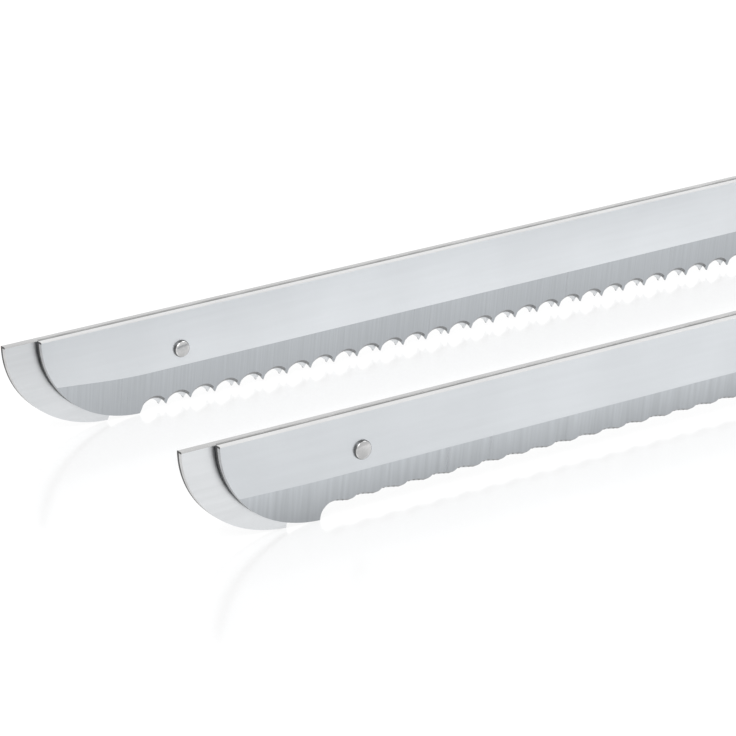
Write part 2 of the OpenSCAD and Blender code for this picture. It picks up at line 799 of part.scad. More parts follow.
module rear_bracket() {
    color(nylon_colour)
        difference() {
            union() {
                block([bracket_x, -bracket_half_w, motor_z - bracket_half_h],
                    [bracket_x + bracket_t, bracket_half_w, motor_z + bracket_half_h]);
                for (sy = [-1, 1], sz = [-1, 1])
                    long_bar([sy * post_y, motor_z + sz * post_dz], post_r, stack_end, bracket_x + over);
                for (side = [0, 1])
                    mirror([0, side, 0])
                        block([holder_back_x, holder_out - 2 * brush_half_z, motor_z - brush_half_z],
                            [bracket_x + over, holder_out, motor_z + brush_half_z]);
                cross_bar(motor_lug, lug_r, -lug_half, lug_half);
                block([bracket_x, -lug_half, motor_lug[1] - lug_r],
                    [motor_lug[0], lug_half, motor_lug[1] + lug_r]);
            }
            cross_bar(motor_lug, screw_r + 2 * run_gap, -body_w, body_w);
            long_bar([0, motor_z], bearing_r, bracket_x - over, bracket_x + bracket_t + over);
            for (sy = [-1, 1], sz = [-1, 1])
                long_bar([sy * post_y, motor_z + sz * post_dz], motor_screw_r,
                    stack_end - over, motor_lug[0] + lug_r + over);
        }
}

module motor_screws() {
    color(steel_colour)
        for (sy = [-1, 1], sz = [-1, 1]) {
            long_bar([sy * post_y, motor_z + sz * post_dz], motor_screw_r,
                stack_x + 2 * screw_r, bracket_x + bracket_t);
            long_bar([sy * post_y, motor_z + sz * post_dz], 2 * motor_screw_r,
                bracket_x + bracket_t, bracket_x + bracket_t + screw_head_h);
        }
}

module brush_holders() {
    hx = brush_half_x + holder_wall + coil_gap;
    hz = brush_half_z + holder_wall + coil_gap;
    color(brass_colour)
        for (side = [0, 1])
            mirror([0, side, 0])
                difference() {
                    block([brush_mid_x - hx, holder_in, motor_z - hz], [holder_back_x, holder_out, motor_z + hz]);
                    block([brush_mid_x - brush_half_x - run_gap, commutator_r, motor_z - brush_half_z - run_gap],
                        [brush_mid_x + brush_half_x + run_gap, holder_out - holder_wall,
                            motor_z + brush_half_z + run_gap]);
                }
}

module carbon_brushes() {
    color([0.15, 0.15, 0.16])
        for (side = [0, 1])
            mirror([0, side, 0])
                difference() {
                    block([brush_mid_x - brush_half_x, commutator_r * 0.93, motor_z - brush_half_z],
                        [brush_mid_x + brush_half_x, brush_out, motor_z + brush_half_z]);
                    long_bar([0, motor_z], commutator_r + run_gap,
                        brush_mid_x - brush_half_x - over, brush_mid_x + brush_half_x + over);
                }
}

module brush_springs() {
    color(steel_colour)
        for (side = [0, 1])
            mirror([0, side, 0])
                translate([brush_mid_x, brush_out, motor_z])
                    rotate([-90, 0, 0])
                        coil_spring(brush_half_z - 2 * wire_r, brush_spring_room, 2);
}

module armature_shaft() {
    color(steel_colour)
        long_bar([0, motor_z], shaft_r, worm_back_x, rear_bearing_x + bearing_w + shaft_r / 2);
}

slot_count = 12;
slot_half = stator_h * 1.1 / 38;
slot_low_r = stator_h * 3 / 19;
armature_r = stator_bore_r - air_gap;
winding_end = 4;
module armature_core() {
    color([0.45, 0.47, 0.50])
        difference() {
            long_bar([0, motor_z], armature_r, stack_x, stack_end);
            long_bar([0, motor_z], shaft_r, stack_x - over, stack_end + over);
            for (k = [0 : slot_count - 1])
                translate([0, 0, motor_z])
                    rotate([360 * k / slot_count, 0, 0])
                        block([stack_x - over, -slot_half, slot_low_r], [stack_end + over, slot_half, stator_bore_r]);
        }
}

module armature_windings() {
    winding_r = armature_r - 1.5 * slot_half;
    color(copper_colour)
        difference() {
            union() {
                for (x = [stack_x - winding_end, stack_end])
                    long_bar([0, motor_z], winding_r, x, x + winding_end);
                for (k = [0 : slot_count - 1])
                    translate([0, 0, motor_z])
                        rotate([360 * k / slot_count, 0, 0])
                            block([stack_x - over, -slot_half + coil_gap, slot_low_r + coil_gap],
                                [stack_end + over, slot_half - coil_gap, winding_r]);
            }
            long_bar([0, motor_z], shaft_r, stack_x - 2 * winding_end, stack_end + 2 * winding_end);
        }
}

module commutator() {
    collar_t = 1.5;
    bar_gap_half = 0.25;
    color(copper_colour)
        difference() {
            union() {
                long_bar([0, motor_z], commutator_r, commutator_x, commutator_x + commutator_len);
                long_bar([0, motor_z], shaft_r + collar_t, stack_end + winding_end, commutator_x + over);
            }
            long_bar([0, motor_z], shaft_r, stack_end, commutator_x + commutator_len + over);
            for (k = [0 : slot_count - 1])
                translate([0, 0, motor_z])
                    rotate([360 * k / slot_count, 0, 0])
                        block([commutator_x - over, -bar_gap_half, commutator_r - 3 * bar_gap_half],
                            [commutator_x + commutator_len + over, bar_gap_half, commutator_r + over]);
        }
}

fan_w = 8;
fan_blades = 9;
fan_plate_t = 1.5;
fan_blade_half_t = 0.6;
module cooling_fan() {
    color(nylon_colour)
        difference() {
            union() {
                long_bar([0, motor_z], shaft_r + fan_plate_t, fan_x, fan_x + fan_w);
                long_bar([0, motor_z], fan_r, fan_x + fan_w - fan_plate_t, fan_x + fan_w);
                for (k = [0 : fan_blades - 1])
                    translate([0, 0, motor_z])
                        rotate([360 * k / fan_blades, 0, 0])
                            block([fan_x, -fan_blade_half_t, shaft_r + fan_blade_half_t],
                                [fan_x + fan_w - fan_blade_half_t, fan_blade_half_t, fan_r - fan_blade_half_t]);
            }
            long_bar([0, motor_z], shaft_r, fan_x - over, fan_x + fan_w + over);
        }
}

// Worm with its front journal: its cross section turned along the axis gives a trapezoid thread.
// It is turned so that a gap of the thread meets the gear's top tooth.
lead = PI * gear_module;
worm_root_r = worm_pitch_r - 1.15 * gear_module;
worm_tip_r = worm_pitch_r + gear_module;
worm_turns = 5;
worm_len = worm_turns * lead;
worm_back_x = gear_x + worm_len / 2;
flank_share = 0.22;
function thread_rise(u) =
    let (d = abs(u - 0.5) * 2, crest = 0.5 - flank_share - tooth_play / lead / 2, foot = crest + 2 * flank_share)
    1 - min(1, max(0, (d - crest) / (foot - crest)));
module worm() {
    worm_points = 30;
    slices_per_turn = 12;
    color(steel_colour) {
        translate([worm_back_x - worm_len, 0, motor_z])
            rotate([0, 90, 0])
                rotate([0, 0, 180 * (worm_turns % 2)])
                    linear_extrude(height = worm_len, twist = -360 * worm_turns,
                        slices = slices_per_turn * worm_turns, convexity = 10)
                        polygon([for (i = [0 : worm_points - 1])
                            let (r = worm_root_r + (worm_tip_r - worm_root_r) * thread_rise(i / worm_points))
                            r * [cos(360 * i / worm_points), sin(360 * i / worm_points)]]);
        long_bar([0, motor_z], shaft_r, bridge_x - bush_lip, worm_back_x - worm_len);
    }
}

// Drive gear: helical teeth that match the worm's lead angle
hub_r = 8;
gear_twist = atan(lead / (2 * PI * worm_pitch_r));
module drive_gear() {
    tooth_root_r = gear_pitch_r - 1.2 * gear_module;
    tooth_tip_r = gear_pitch_r + 0.95 * gear_module;
    step = 360 / gear_teeth;
    // Half angles of a tooth at its root, pitch line and tip, less the play
    play = tooth_play / 2 / gear_pitch_r * 180 / PI;
    root_half = step * 0.36 - play;
    pitch_half = step * 0.25 - play;
    tip_half = step * 0.115 - play;
    turn = gear_w * tan(gear_twist) / gear_pitch_r * 180 / PI;
    tooth_shape = [[tooth_root_r, -root_half], [gear_pitch_r, -pitch_half], [tooth_tip_r, -tip_half],
        [tooth_tip_r, tip_half], [gear_pitch_r, pitch_half], [tooth_root_r, root_half]];
    color(nylon_colour)
        translate([gear_x, 0, gear_z])
            rotate([90, 0, 0])
                translate([0, 0, -gear_w / 2])
                    rotate([0, 0, -turn / 2])
                        linear_extrude(height = gear_w, twist = -turn, slices = 4, convexity = 6)
                            difference() {
                                polygon([for (k = [0 : gear_teeth - 1], p = tooth_shape)
                                    p[0] * [cos(k * step + p[1]), sin(k * step + p[1])]]);
                                circle(r = (hub_r + run_gap / 5) / cos(180 / 48), $fn = 48);
                            }
}

// Eccentric on the side of sign s, turned by the rest angle, with half of the hub
module eccentric(s) {
    flange_r = hub_r + 2.2;
    flange_out = gear_w / 2 + 2 * move_gap;
    color(brass_colour)
        translate([gear_x, 0, gear_z])
            rotate([0, rest_turn, 0])
                difference() {
                    union() {
                        mirror_left(s < 0) {
                            cross_bar([0, -s * crank_r], disc_r, flange_out, arm_out - move_gap);
                            cross_bar([0, 0], hub_r, 0, gear_w / 2);
                            cross_bar([0, 0], flange_r, gear_w / 2, flange_out);
                        }
                    }
                    cross_bar([0, 0], axle_r + run_gap, -body_w, body_w);
                }
}

module left_eccentric() {
    eccentric(-1);
}

module right_eccentric() {
    eccentric(1);
}

// Slider on the right side, drawn at mid stroke
channel_in = 6;
channel_front_x = channel_in - body_front;
tang_rear_x = left_tip_x - half_step + tang_end;
hook_back = 5;
latch_hook_x = channel_front_x + hook_back;
latch_mid_z = release_z;
notch_depth = 0.9;
hook_half = 1.1;
hook_half_h = 1.6;
window_half_h = hook_half_h + 2 * move_gap;
low_lip_z = spine_z - shank_h - move_gap;
high_lip_z = spine_z + move_gap;
lip_t = 1.5;
module slider() {
    lip_in = blade_in + 2 * move_gap;
    yoke_x = gear_x - yoke_half_len;
    difference() {
        union() {
            // Arm with its two lips and the stop behind the tang
            block([channel_front_x, arm_in, low_lip_z - lip_t], [yoke_x + over, arm_out, high_lip_z + lip_t]);
            block([channel_front_x, lip_in, high_lip_z], [tang_rear_x + 2 * lip_t, arm_in + over, high_lip_z + lip_t]);
            block([channel_front_x, lip_in, low_lip_z - lip_t], [tang_rear_x + 2 * lip_t, arm_in + over, low_lip_z]);
            block([tang_rear_x + move_gap, lip_in, low_lip_z - lip_t],
                [tang_rear_x + 2 * lip_t, arm_in + over, high_lip_z + lip_t]);
            // Yoke round the eccentric
            block([yoke_x, slider_in, gear_z - yoke_half_h], [gear_x + yoke_half_len, arm_out, gear_z + yoke_half_h]);
        }
        block([gear_x - yoke_slot_half, slider_in - over, gear_z - yoke_slot_rise],
            [gear_x + yoke_slot_half, arm_out + over, gear_z + yoke_slot_rise]);
        // Window for the latch hook
        block([latch_hook_x - hook_half - move_gap, arm_in - over, latch_mid_z - window_half_h],
            [latch_hook_x + hook_half + move_gap, arm_out + over, latch_mid_z + window_half_h]);
    }
}

module left_slider() {
    color(nylon_colour)
        translate([half_step, 0, 0])
            mirror_left(true)
                slider();
}

module right_slider() {
    color(nylon_colour)
        translate([-half_step, 0, 0])
            slider();
}

// Latch spring on the right side at mid stroke: a steel leaf that rocks on the arm
leaf_t = 0.6;
leaf_half_h = 3;
leaf_rise = 3.4;
leaf_out = arm_out + leaf_rise;
module latch_spring() {
    ramp_len = 5;
    ramp_x = latch_hook_x + 2 * ramp_len;
    leaf_end_x = release_x + ramp_len;
    color(steel_colour) {
        translate([0, 0, latch_mid_z - leaf_half_h])
            linear_extrude(height = 2 * leaf_half_h)
                polygon([[latch_hook_x - hook_half, arm_out], [ramp_x, arm_out],
                    [ramp_x + ramp_len, leaf_out - leaf_t], [leaf_end_x, leaf_out - leaf_t],
                    [leaf_end_x, leaf_out], [ramp_x + ramp_len - leaf_t, leaf_out],
                    [ramp_x - leaf_t, arm_out + leaf_t], [latch_hook_x - hook_half, arm_out + leaf_t]]);
        block([latch_hook_x - hook_half, tang_out - notch_depth + move_gap, latch_mid_z - hook_half_h],
            [latch_hook_x + hook_half, arm_out + leaf_t, latch_mid_z + hook_half_h]);
    }
}

module left_latch_spring() {
    translate([half_step, 0, 0])
        mirror_left(true)
            latch_spring();
}

module right_latch_spring() {
    translate([-half_step, 0, 0])
        latch_spring();
}

// Outline of a blade with its tip corner at the origin, Z up, before the teeth are cut
tip_points = 16;
function tip_point(a) = [tip_len * (1 - cos(a)), -blade_h * sin(a)];
module blade_outline(edge_steps) {
    shank_x = blade_reach - half_step;
    tip_end = len(edge_steps) == 0 ? tip_len : edge_steps[0][0] - edge_t;
    polygon(concat(
        [for (i = [0 : tip_points]) let (p = tip_point(90 * i / tip_points)) if (p[0] < tip_end + edge_t / 2) p],
        edge_steps,
        [[shank_x - plain_len / 2, -blade_h], [shank_x, -shank_h], [blade_len, -shank_h], [blade_len, 0]]));
}

// Stock of one blade on the right side: flat inner face, bevel on the outer face
module blade_stock(length) {
    translate([-over, 0, 0])
        rotate([90, 0, 90])
            linear_extrude(height = length + 2 * over)
                polygon([[blade_in, over], [blade_out, over], [blade_out, bevel_h - blade_h],
                    [blade_in + edge_t, -blade_h], [blade_in + edge_t, -blade_h - over], [blade_in, -blade_h - over]]);
}

// Fine edge: each tooth point, a short rise, a hollow with small notches and a slope to the next point
fine_shares = [[0.10, 0.35], [0.20, 0.86], [0.27, 0.97], [0.32, 0.80], [0.38, 1.00], [0.46, 0.95], [0.51, 0.72],
    [0.57, 0.78], [0.67, 0.62], [0.71, 0.42], [0.78, 0.44], [0.90, 0.2]];
fine_first = first_tooth - tooth_pitch;
fine_step = 0.35;
function fine_points(count) = concat(
    [[fine_first - fine_step, -blade_h], [fine_first + fine_step, fine_recess / 2 - blade_h]],
    [for (k = [0 : count - 1]) each [
        for (s = fine_shares) [fine_first + (k + s[0]) * tooth_pitch, fine_recess - blade_h + s[1] * fine_depth]]],
    [[fine_first + count * tooth_pitch, fine_recess - blade_h]],
    [[fine_first + count * tooth_pitch + fine_step, -blade_h]]);

// Tang rivets, with heads sunk into the tangs
tang_rivet_places = [tang_start + tang_len * 0.53, tang_end - tang_len / 5];
rivet_sink = 0.8;
tang_rivet_head_r = 1.7 * tang_rivet_r;
module tang_rivet_holes() {
    for (x = tang_rivet_places)
        cross_bar([x, -shank_h / 2], tang_rivet_r, -body_w, body_w);
}

// One blade on the right side with its tip corner at the origin
module blade(coarse, slotted) {
    count = floor((teeth_end - first_tooth) / tooth_pitch);
    scallop_z = -blade_h + scallop_depth - scallop_r;
    color(steel_colour)
        difference() {
            intersection() {
                side_plate(0, body_w)
                    blade_outline(coarse ? [] : fine_points(count + 1));
                blade_stock(blade_len);
            }
            if (coarse)
                for (k = [-1 : count - 1])
                    cross_bar([first_tooth + (k + 0.5) * tooth_pitch, scallop_z], scallop_r, -over, blade_out + over);
            if (slotted) {
                mid = rivet_x;
                for (side = [-1, 1])
                    cross_bar([mid + side * rivet_slot_half, -rivet_drop], rivet_r + run_gap, -over, blade_out + over);
                block([mid - rivet_slot_half, -over, -rivet_drop - rivet_r - run_gap],
                    [mid + rivet_slot_half, blade_out + over, -rivet_drop + rivet_r + run_gap]);
            } else
                cross_bar([rivet_x, -rivet_drop], rivet_r, -over, blade_out + over);
            tang_rivet_holes();
        }
}

// Rivet through the left blade and the slot in the right one
module pair_rivet() {
    head = rivet_head_h;
    color(steel_colour) {
        cross_bar([rivet_x, -rivet_drop], rivet_r, -blade_out, blade_out + run_gap + head / 2);
        cross_bar([rivet_x, -rivet_drop], rivet_head_r, -blade_out - head, -blade_out);
        cross_bar([rivet_x, -rivet_drop], rivet_head_r, blade_out + run_gap, blade_out + run_gap + head / 2);
    }
}

// Tang on the right side
module tang() {
    color(tang_colour)
        difference() {
            block([tang_start, blade_out, -shank_h], [tang_end, tang_out, 0]);
            block([notch_x - hook_half - move_gap, tang_out - notch_depth, -shank_h / 2 - window_half_h],
                [notch_x + hook_half + move_gap, tang_out + over, -shank_h / 2 + window_half_h]);
            tang_rivet_holes();
            for (x = tang_rivet_places)
                cross_bar([x, -shank_h / 2], tang_rivet_head_r, tang_out - rivet_sink, tang_out + over);
        }
}
notch_x = latch_hook_x - (left_tip_x - half_step);

module tang_rivets() {
    color(steel_colour)
        for (x = tang_rivet_places) {
            cross_bar([x, -shank_h / 2], tang_rivet_r, blade_in, tang_out - rivet_sink);
            cross_bar([x, -shank_h / 2], tang_rivet_head_r, tang_out - rivet_sink, tang_out - rivet_sink / 4);
        }
}

module at_left_tip() {
    translate([left_tip_x, 0, spine_z])
        mirror_left(true)
            children();
}

module at_right_tip() {
    translate([right_tip_x, 0, spine_z])
        children();
}

module left_blade() {
    at_left_tip()
        blade(true, false);
}

module left_tang() {
    at_left_tip()
        tang();
}

module left_tang_rivets() {
    at_left_tip()
        tang_rivets();
}

module blade_rivet() {
    translate([left_tip_x, 0, spine_z])
        pair_rivet();
}

module right_blade() {
    at_right_tip()
        blade(true, true);
}

module right_tang() {
    at_right_tip()
        tang();
}

module right_tang_rivets() {
    at_right_tip()
        tang_rivets();
}

// Spare pair: it stands on its tooth points beside the fitted pair
module at_spare(step) {
    translate([left_tip_x - spare_ahead, -spare_away, blade_h])
        rotate([0, 0, -spare_turn])
            translate([-step, 0, 0])
                children();
}

module spare_left_blade() {
    at_spare(0)
        mirror_left(true)
            blade(false, false);
}

module spare_left_tang() {
    at_spare(0)
        mirror_left(true)
            tang();
}

module spare_left_rivets() {
    at_spare(0)
        mirror_left(true)
            tang_rivets();
}

module spare_blade_rivet() {
    at_spare(0)
        pair_rivet();
}

module spare_right_blade() {
    at_spare(tip_step)
        blade(false, true);
}

module spare_right_tang() {
    at_spare(tip_step)
        tang();
}

module spare_right_rivets() {
    at_spare(tip_step)
        tang_rivets();
}

// Trigger: a lever under the grip that turns about the trigger pin
module trigger() {
    px = trigger_pivot[0];
    tip = px - trigger_len;
    hub = trigger_heel - over;
    finger_r = 13;
    finger_depth = 3;
    color(accent_colour)
        difference() {
            side_plate(-trigger_w / 2, trigger_w / 2)
                difference() {
                    polygon([[tip, grip_floor_z - trigger_drop], [tip, trigger_top - hub / 2],
                        [tip + hub / 2, trigger_top], [px - 2 * hub, trigger_top],
                        [px - hub, trigger_pivot[1] + trigger_heel],
                        [px + hub, trigger_pivot[1] + trigger_heel], [px + trigger_heel, grip_floor_z + over],
                        [px - trigger_heel, grip_floor_z - over], [px - trigger_len / 4, grip_floor_z - trigger_drop],
                        [tip + hub, grip_floor_z - trigger_drop * 4 / 3]]);
                    translate([px - trigger_len * 0.6, grip_floor_z - trigger_drop - finger_r + finger_depth])
                        circle(r = finger_r, $fn = 96);
                    // The front end is an arc about the pin, so that it keeps its gap as it swings
                    difference() {
                        translate(trigger_pivot)
                            square(4 * trigger_len, center = true);
                        translate(trigger_pivot)
                            circle(r = trigger_len, $fn = 180);
                    }
                }
            cross_bar(trigger_pivot, trigger_pin_r + run_gap, -body_w, body_w);
        }
}

module trigger_pin() {
    color(steel_colour)
        cross_bar(trigger_pivot, trigger_pin_r, -trigger_pin_end, trigger_pin_end);
}

spring_ahead = 33;
spring_r = 2.6;
spring_curls = 4;
module trigger_spring() {
    color(steel_colour)
        translate([trigger_pivot[0] - spring_ahead, 0, trigger_top])
            coil_spring(spring_r, switch_room, spring_curls);
}

module switch_body() {
    color([0.20, 0.21, 0.23])
        difference() {
            block([switch_front_x, -switch_half_w, switch_low],
                [switch_front_x + switch_len, switch_half_w, switch_low + switch_h]);
            translate([plunger_x, 0, switch_low - over])
                cylinder(r = plunger_r + run_gap, h = over + switch_h - switch_roof, $fn = 48);
        }
}

module switch_plunger() {
    color([0.85, 0.25, 0.18])
        translate([plunger_x, 0, trigger_top + move_gap])
            cylinder(r = plunger_r, h = switch_room + switch_h - switch_roof - plunger_travel - 2 * move_gap, $fn = 48);
}

// Lock button on top of the grip
module lock_button() {
    plate_z = top_z - 2 * wall - move_gap;
    pad_z = top_z + move_gap;
    color(accent_colour) {
        block([lock_x - lock_half_len, -lock_stem_half, plate_z],
            [lock_x + lock_half_len, lock_stem_half, pad_z + lock_rise / 2]);
        block([lock_x - lock_half_len - lock_lip, -lock_half_w, pad_z],
            [lock_x + lock_half_len + lock_lip, lock_half_w, pad_z + lock_rise]);
        block([lock_x - lock_half_len - lock_lip, -lock_half_w - lock_lip / 2, plate_z],
            [lock_x + lock_half_len + lock_lip, lock_half_w + lock_lip / 2, plate_z + lock_plate_t]);
    }
}

// Release button on the right side: a rounded cap, a flange behind the shell wall and a stem to the latch spring
button_proud = 0.8;
button_face_y = body_w / 2 * taper(release_x) + button_proud;
button_flange_t = 1.2;
button_flange_lip = 0.6;
button_stem_r = 2;
module release_button() {
    stem_y = leaf_out + move_gap;
    flange_y = stem_y + release_travel + move_gap;
    flange_half = release_half_len + release_r + button_flange_lip;
    color(accent_colour) {
        for (side = [-1, 1])
            cross_bar([release_x + side * release_half_len, release_z], release_r, flange_y, button_face_y);
        block([release_x - release_half_len, flange_y, release_z - release_r],
            [release_x + release_half_len, button_face_y, release_z + release_r]);
        cross_bar([release_x, release_z], button_stem_r, stem_y, flange_y + over);
        block([release_x - flange_half, flange_y, release_z - release_r / 2],
            [release_x + flange_half, flange_y + button_flange_t, release_z + release_r / 2]);
    }
}

module left_release_button() {
    mirror_left(true)
        release_button();
}

module right_release_button() {
    release_button();
}

left_shell();
right_shell();
nose_guard();
base_pad();
shell_screws();
inlet_socket();
inlet_pins();
gear_frame();
gear_axle();
front_bush();
middle_bearing();
rear_bearing();
rear_bracket();
motor_screws();
stator_core();
field_coils();
brush_holders();
carbon_brushes();
brush_springs();
switch_body();
trigger_pin();
armature_shaft();
armature_core();
armature_windings();
commutator();
cooling_fan();
worm();
drive_gear();
left_eccentric();
right_eccentric();
left_slider();
left_latch_spring();
right_slider();
right_latch_spring();
left_blade();
left_tang();
left_tang_rivets();
blade_rivet();
right_blade();
right_tang();
right_tang_rivets();
trigger();
trigger_spring();
switch_plunger();
lock_button();
left_release_button();
right_release_button();
spare_left_blade();
spare_left_tang();
spare_left_rivets();
spare_blade_rivet();
spare_right_blade();
spare_right_tang();
spare_right_rivets();
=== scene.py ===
import math

import bpy
from mathutils import Matrix, Vector


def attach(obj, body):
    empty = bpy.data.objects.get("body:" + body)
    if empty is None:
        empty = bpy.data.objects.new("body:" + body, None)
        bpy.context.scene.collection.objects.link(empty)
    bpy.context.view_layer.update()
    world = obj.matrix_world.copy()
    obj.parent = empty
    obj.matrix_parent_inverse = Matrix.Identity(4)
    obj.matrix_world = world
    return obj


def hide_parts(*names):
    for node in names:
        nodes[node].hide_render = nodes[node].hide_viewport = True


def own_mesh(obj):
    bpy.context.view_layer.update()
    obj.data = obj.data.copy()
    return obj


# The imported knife.
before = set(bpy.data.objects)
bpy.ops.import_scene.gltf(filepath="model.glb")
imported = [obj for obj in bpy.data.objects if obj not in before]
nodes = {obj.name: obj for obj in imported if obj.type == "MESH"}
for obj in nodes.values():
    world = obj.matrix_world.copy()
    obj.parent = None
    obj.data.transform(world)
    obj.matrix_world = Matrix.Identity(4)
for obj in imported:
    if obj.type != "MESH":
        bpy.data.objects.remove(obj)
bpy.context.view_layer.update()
mm = 0.001
scene = bpy.context.scene
scene.view_settings.view_transform = "Standard"


# Camera
# It stands ahead of the tips on the user's left, a little above the blades,
# and a long lens takes in the front 110 mm of both blade pairs.
camera_place = Vector((-613.3, -527.6, 236.92)) * mm
camera_ahead = Vector((0.5861, 0.8102, 0))
camera_dip = math.radians(20.148)
camera_lens = 202.5
camera_sensor = 36

sight = camera_ahead * math.cos(camera_dip) - Vector((0, 0, math.sin(camera_dip)))
camera = bpy.data.objects.new("camera", bpy.data.cameras.new("camera"))
scene.collection.objects.link(camera)
camera.location = camera_place
camera.rotation_euler = sight.to_track_quat("-Z", "Y").to_euler()
camera.data.lens = camera_lens
camera.data.sensor_width = camera_sensor
scene.camera = camera


# Worktop and light
# A white glossy worktop that runs into a white surround, so that the blades
# show faintly in it, with one broad lamp above the left and a weak one behind.
worktop_half = 3.0
worktop_white = 0.94
worktop_roughness = 0.17
worktop_gloss = 0.9
worktop_glow = 0.67
worktop_shade_share = 0.25
surround_level = 0.72
# Each lamp's name, place, size in metres and power in watts
lamp_places = [
    ("window_lamp", Vector((-900, -700, 1100)) * mm, 0.9, 9.0),
    ("back_lamp", Vector((800, -200, 1300)) * mm, 0.8, 5.0)]


def link(tree, a, a_socket, b, b_socket):
    """Joins an output of node a to an input of node b."""
    tree.links.new(a.outputs[a_socket], b.inputs[b_socket])


def seen_rays(tree):
    """Node that gives 1 for camera, mirror and see-through rays, and 0 for those that light."""
    rays = tree.nodes.new("ShaderNodeLightPath")
    first = tree.nodes.new("ShaderNodeMath")
    first.operation = "MAXIMUM"
    link(tree, rays, "Is Camera Ray", first, 0)
    link(tree, rays, "Is Glossy Ray", first, 1)
    both = tree.nodes.new("ShaderNodeMath")
    both.operation = "MAXIMUM"
    link(tree, first, 0, both, 0)
    link(tree, rays, "Is Transmission Ray", both, 1)
    return both


worktop_mesh = bpy.data.meshes.new("worktop")
worktop_mesh.from_pydata(
    [(x * worktop_half, y * worktop_half, 0) for x, y in ((-1, -1), (1, -1), (1, 1), (-1, 1))],
    [], [(0, 1, 2, 3)])
worktop = bpy.data.objects.new("worktop", worktop_mesh)
scene.collection.objects.link(worktop)
worktop_finish = bpy.data.materials.new("white_worktop")
worktop_finish.use_nodes = True
tree = worktop_finish.node_tree
surface = tree.nodes["Principled BSDF"]
surface.inputs["Base Color"].default_value = (worktop_white * worktop_shade_share,) * 3 + (1,)
surface.inputs["Roughness"].default_value = worktop_roughness
surface.inputs["Specular IOR Level"].default_value = worktop_gloss
# The worktop glows for the eye only, so it looks white and lights nothing
glow = tree.nodes.new("ShaderNodeMath")
glow.operation = "MULTIPLY"
glow.inputs[1].default_value = worktop_glow
link(tree, seen_rays(tree), 0, glow, 0)
surface.inputs["Emission Color"].default_value = (1, 1, 1, 1)
link(tree, glow, 0, surface, "Emission Strength")
worktop_mesh.materials.append(worktop_finish)

world = bpy.data.worlds.new("white_surround")
scene.world = world
world.use_nodes = True
tree = world.node_tree
tree.nodes.clear()
lit = tree.nodes.new("ShaderNodeBackground")
lit.inputs["Strength"].default_value = surround_level
seen = tree.nodes.new("ShaderNodeBackground")
seen.inputs["Color"].default_value = (1, 1, 1, 1)
lit.inputs["Color"].default_value = (1, 1, 1, 1)
choose = tree.nodes.new("ShaderNodeMixShader")
out = tree.nodes.new("ShaderNodeOutputWorld")
link(tree, seen_rays(tree), 0, choose, 0)
link(tree, lit, 0, choose, 1)
link(tree, seen, 0, choose, 2)
link(tree, choose, 0, out, "Surface")

for name, place, size, power in lamp_places:
    lamp = bpy.data.objects.new(name, bpy.data.lights.new(name, "AREA"))
    scene.collection.objects.link(lamp)
    lamp.location = place
    lamp.rotation_euler = (-place).to_track_quat("-Z", "Y").to_euler()
    lamp.data.shape = "DISK"
    lamp.data.size = size
    lamp.data.energy = power


# Blades
# Stainless strip ground on its outer face, with scallops or fine notches cut into
# the edge. Each pair lies back to back and slides on the rivet of the left one.
# They follow the photo's outline, which is spine_rise higher than the CAD's strip.
spine_rise = 0.92
blade_h = 15.35 + spine_rise
blade_in = 0.15
blade_out = 1.35
edge_t = 0.25
tip_len = 19.5
bevel_low = {"coarse": 9.25, "fine": 9.3}
bevel_start = {"coarse": 7.6, "fine": 8.8}
bevel_turn = (-6.0, 20.0)
spine_round = 0.14
gap_round = 0.22
# Share of the tip's cut edge that is painted dark, as a dark reflection.
rim_painted_dark_share = 0.4
scoop_start = 18.5
scoop_len = 2.5
scoop_rise = 2.44
scoop_steps = 10
bevel_round = 0.12
tooth_pitch = 4.7625
first_tooth = 23.74
scallop_depth = 1.4
scallop_facet = 0.5
scallop_recess = 0.6
recess_run = 0.29
cut_from = {"coarse": scallop_recess, "fine": 0.0}
fine_shift = 0.35
fine_first = first_tooth + fine_shift - tooth_pitch
fine_recess = 1.89
fine_depth = 0.65
fine_facet = 0.36
fine_step = 0.35
# Each corner of a fine tooth, as shares of the pitch along and of the depth up
fine_shares = [(0.10, 0.35), (0.20, 0.86), (0.27, 0.97), (0.32, 0.80), (0.38, 1.00), (0.46, 0.95),
    (0.51, 0.72), (0.57, 0.78), (0.67, 0.62), (0.71, 0.42), (0.78, 0.44), (0.90, 0.2)]
keen_t = 0.1
shank_x = 187.1
shank_h = 8.5
shoulder_steps = 8
plain_len = 6.0
blade_end = 228.3
teeth_end = shank_x - plain_len
left_tip = Vector((-296, 0, 15.5 + spine_rise))
tip_step = 5.8
spare_tip = Vector((-298.3, -53.7, 15.35 + spine_rise))
spare_turn = math.radians(-0.47)
rivet_x = {"coarse": 26.25, "fine": 25.65}
rivet_drop = {"coarse": 6.47, "fine": 6.12}
rivet_r = 1.0
slot_half = 6.45
slot_r = 1.05
hole_run = (-2, 3)
tooth_steps = 14
tip_steps = 56
# The place of the tip's first section, and the least height and step that count
tip_start = 0.004
touch = 0.001
sliver = 0.01
plain_tip_share = 0.9
cut_blend = 0.5
arc_share = 0.3
blade_shade_corner = 18


def smooth(low, high, v):
    """Share from 0 at low to 1 at high, without a kink at either end."""
    s = min(1, max(0, (v - low) / (high - low)))
    return s * s * (3 - 2 * s)


def tip_depth(s):
    """Depth of the rounded tip below the spine, at s from its corner."""
    if s >= tip_len:
        return blade_h
    return blade_h * math.sin(math.acos(1 - s / tip_len))


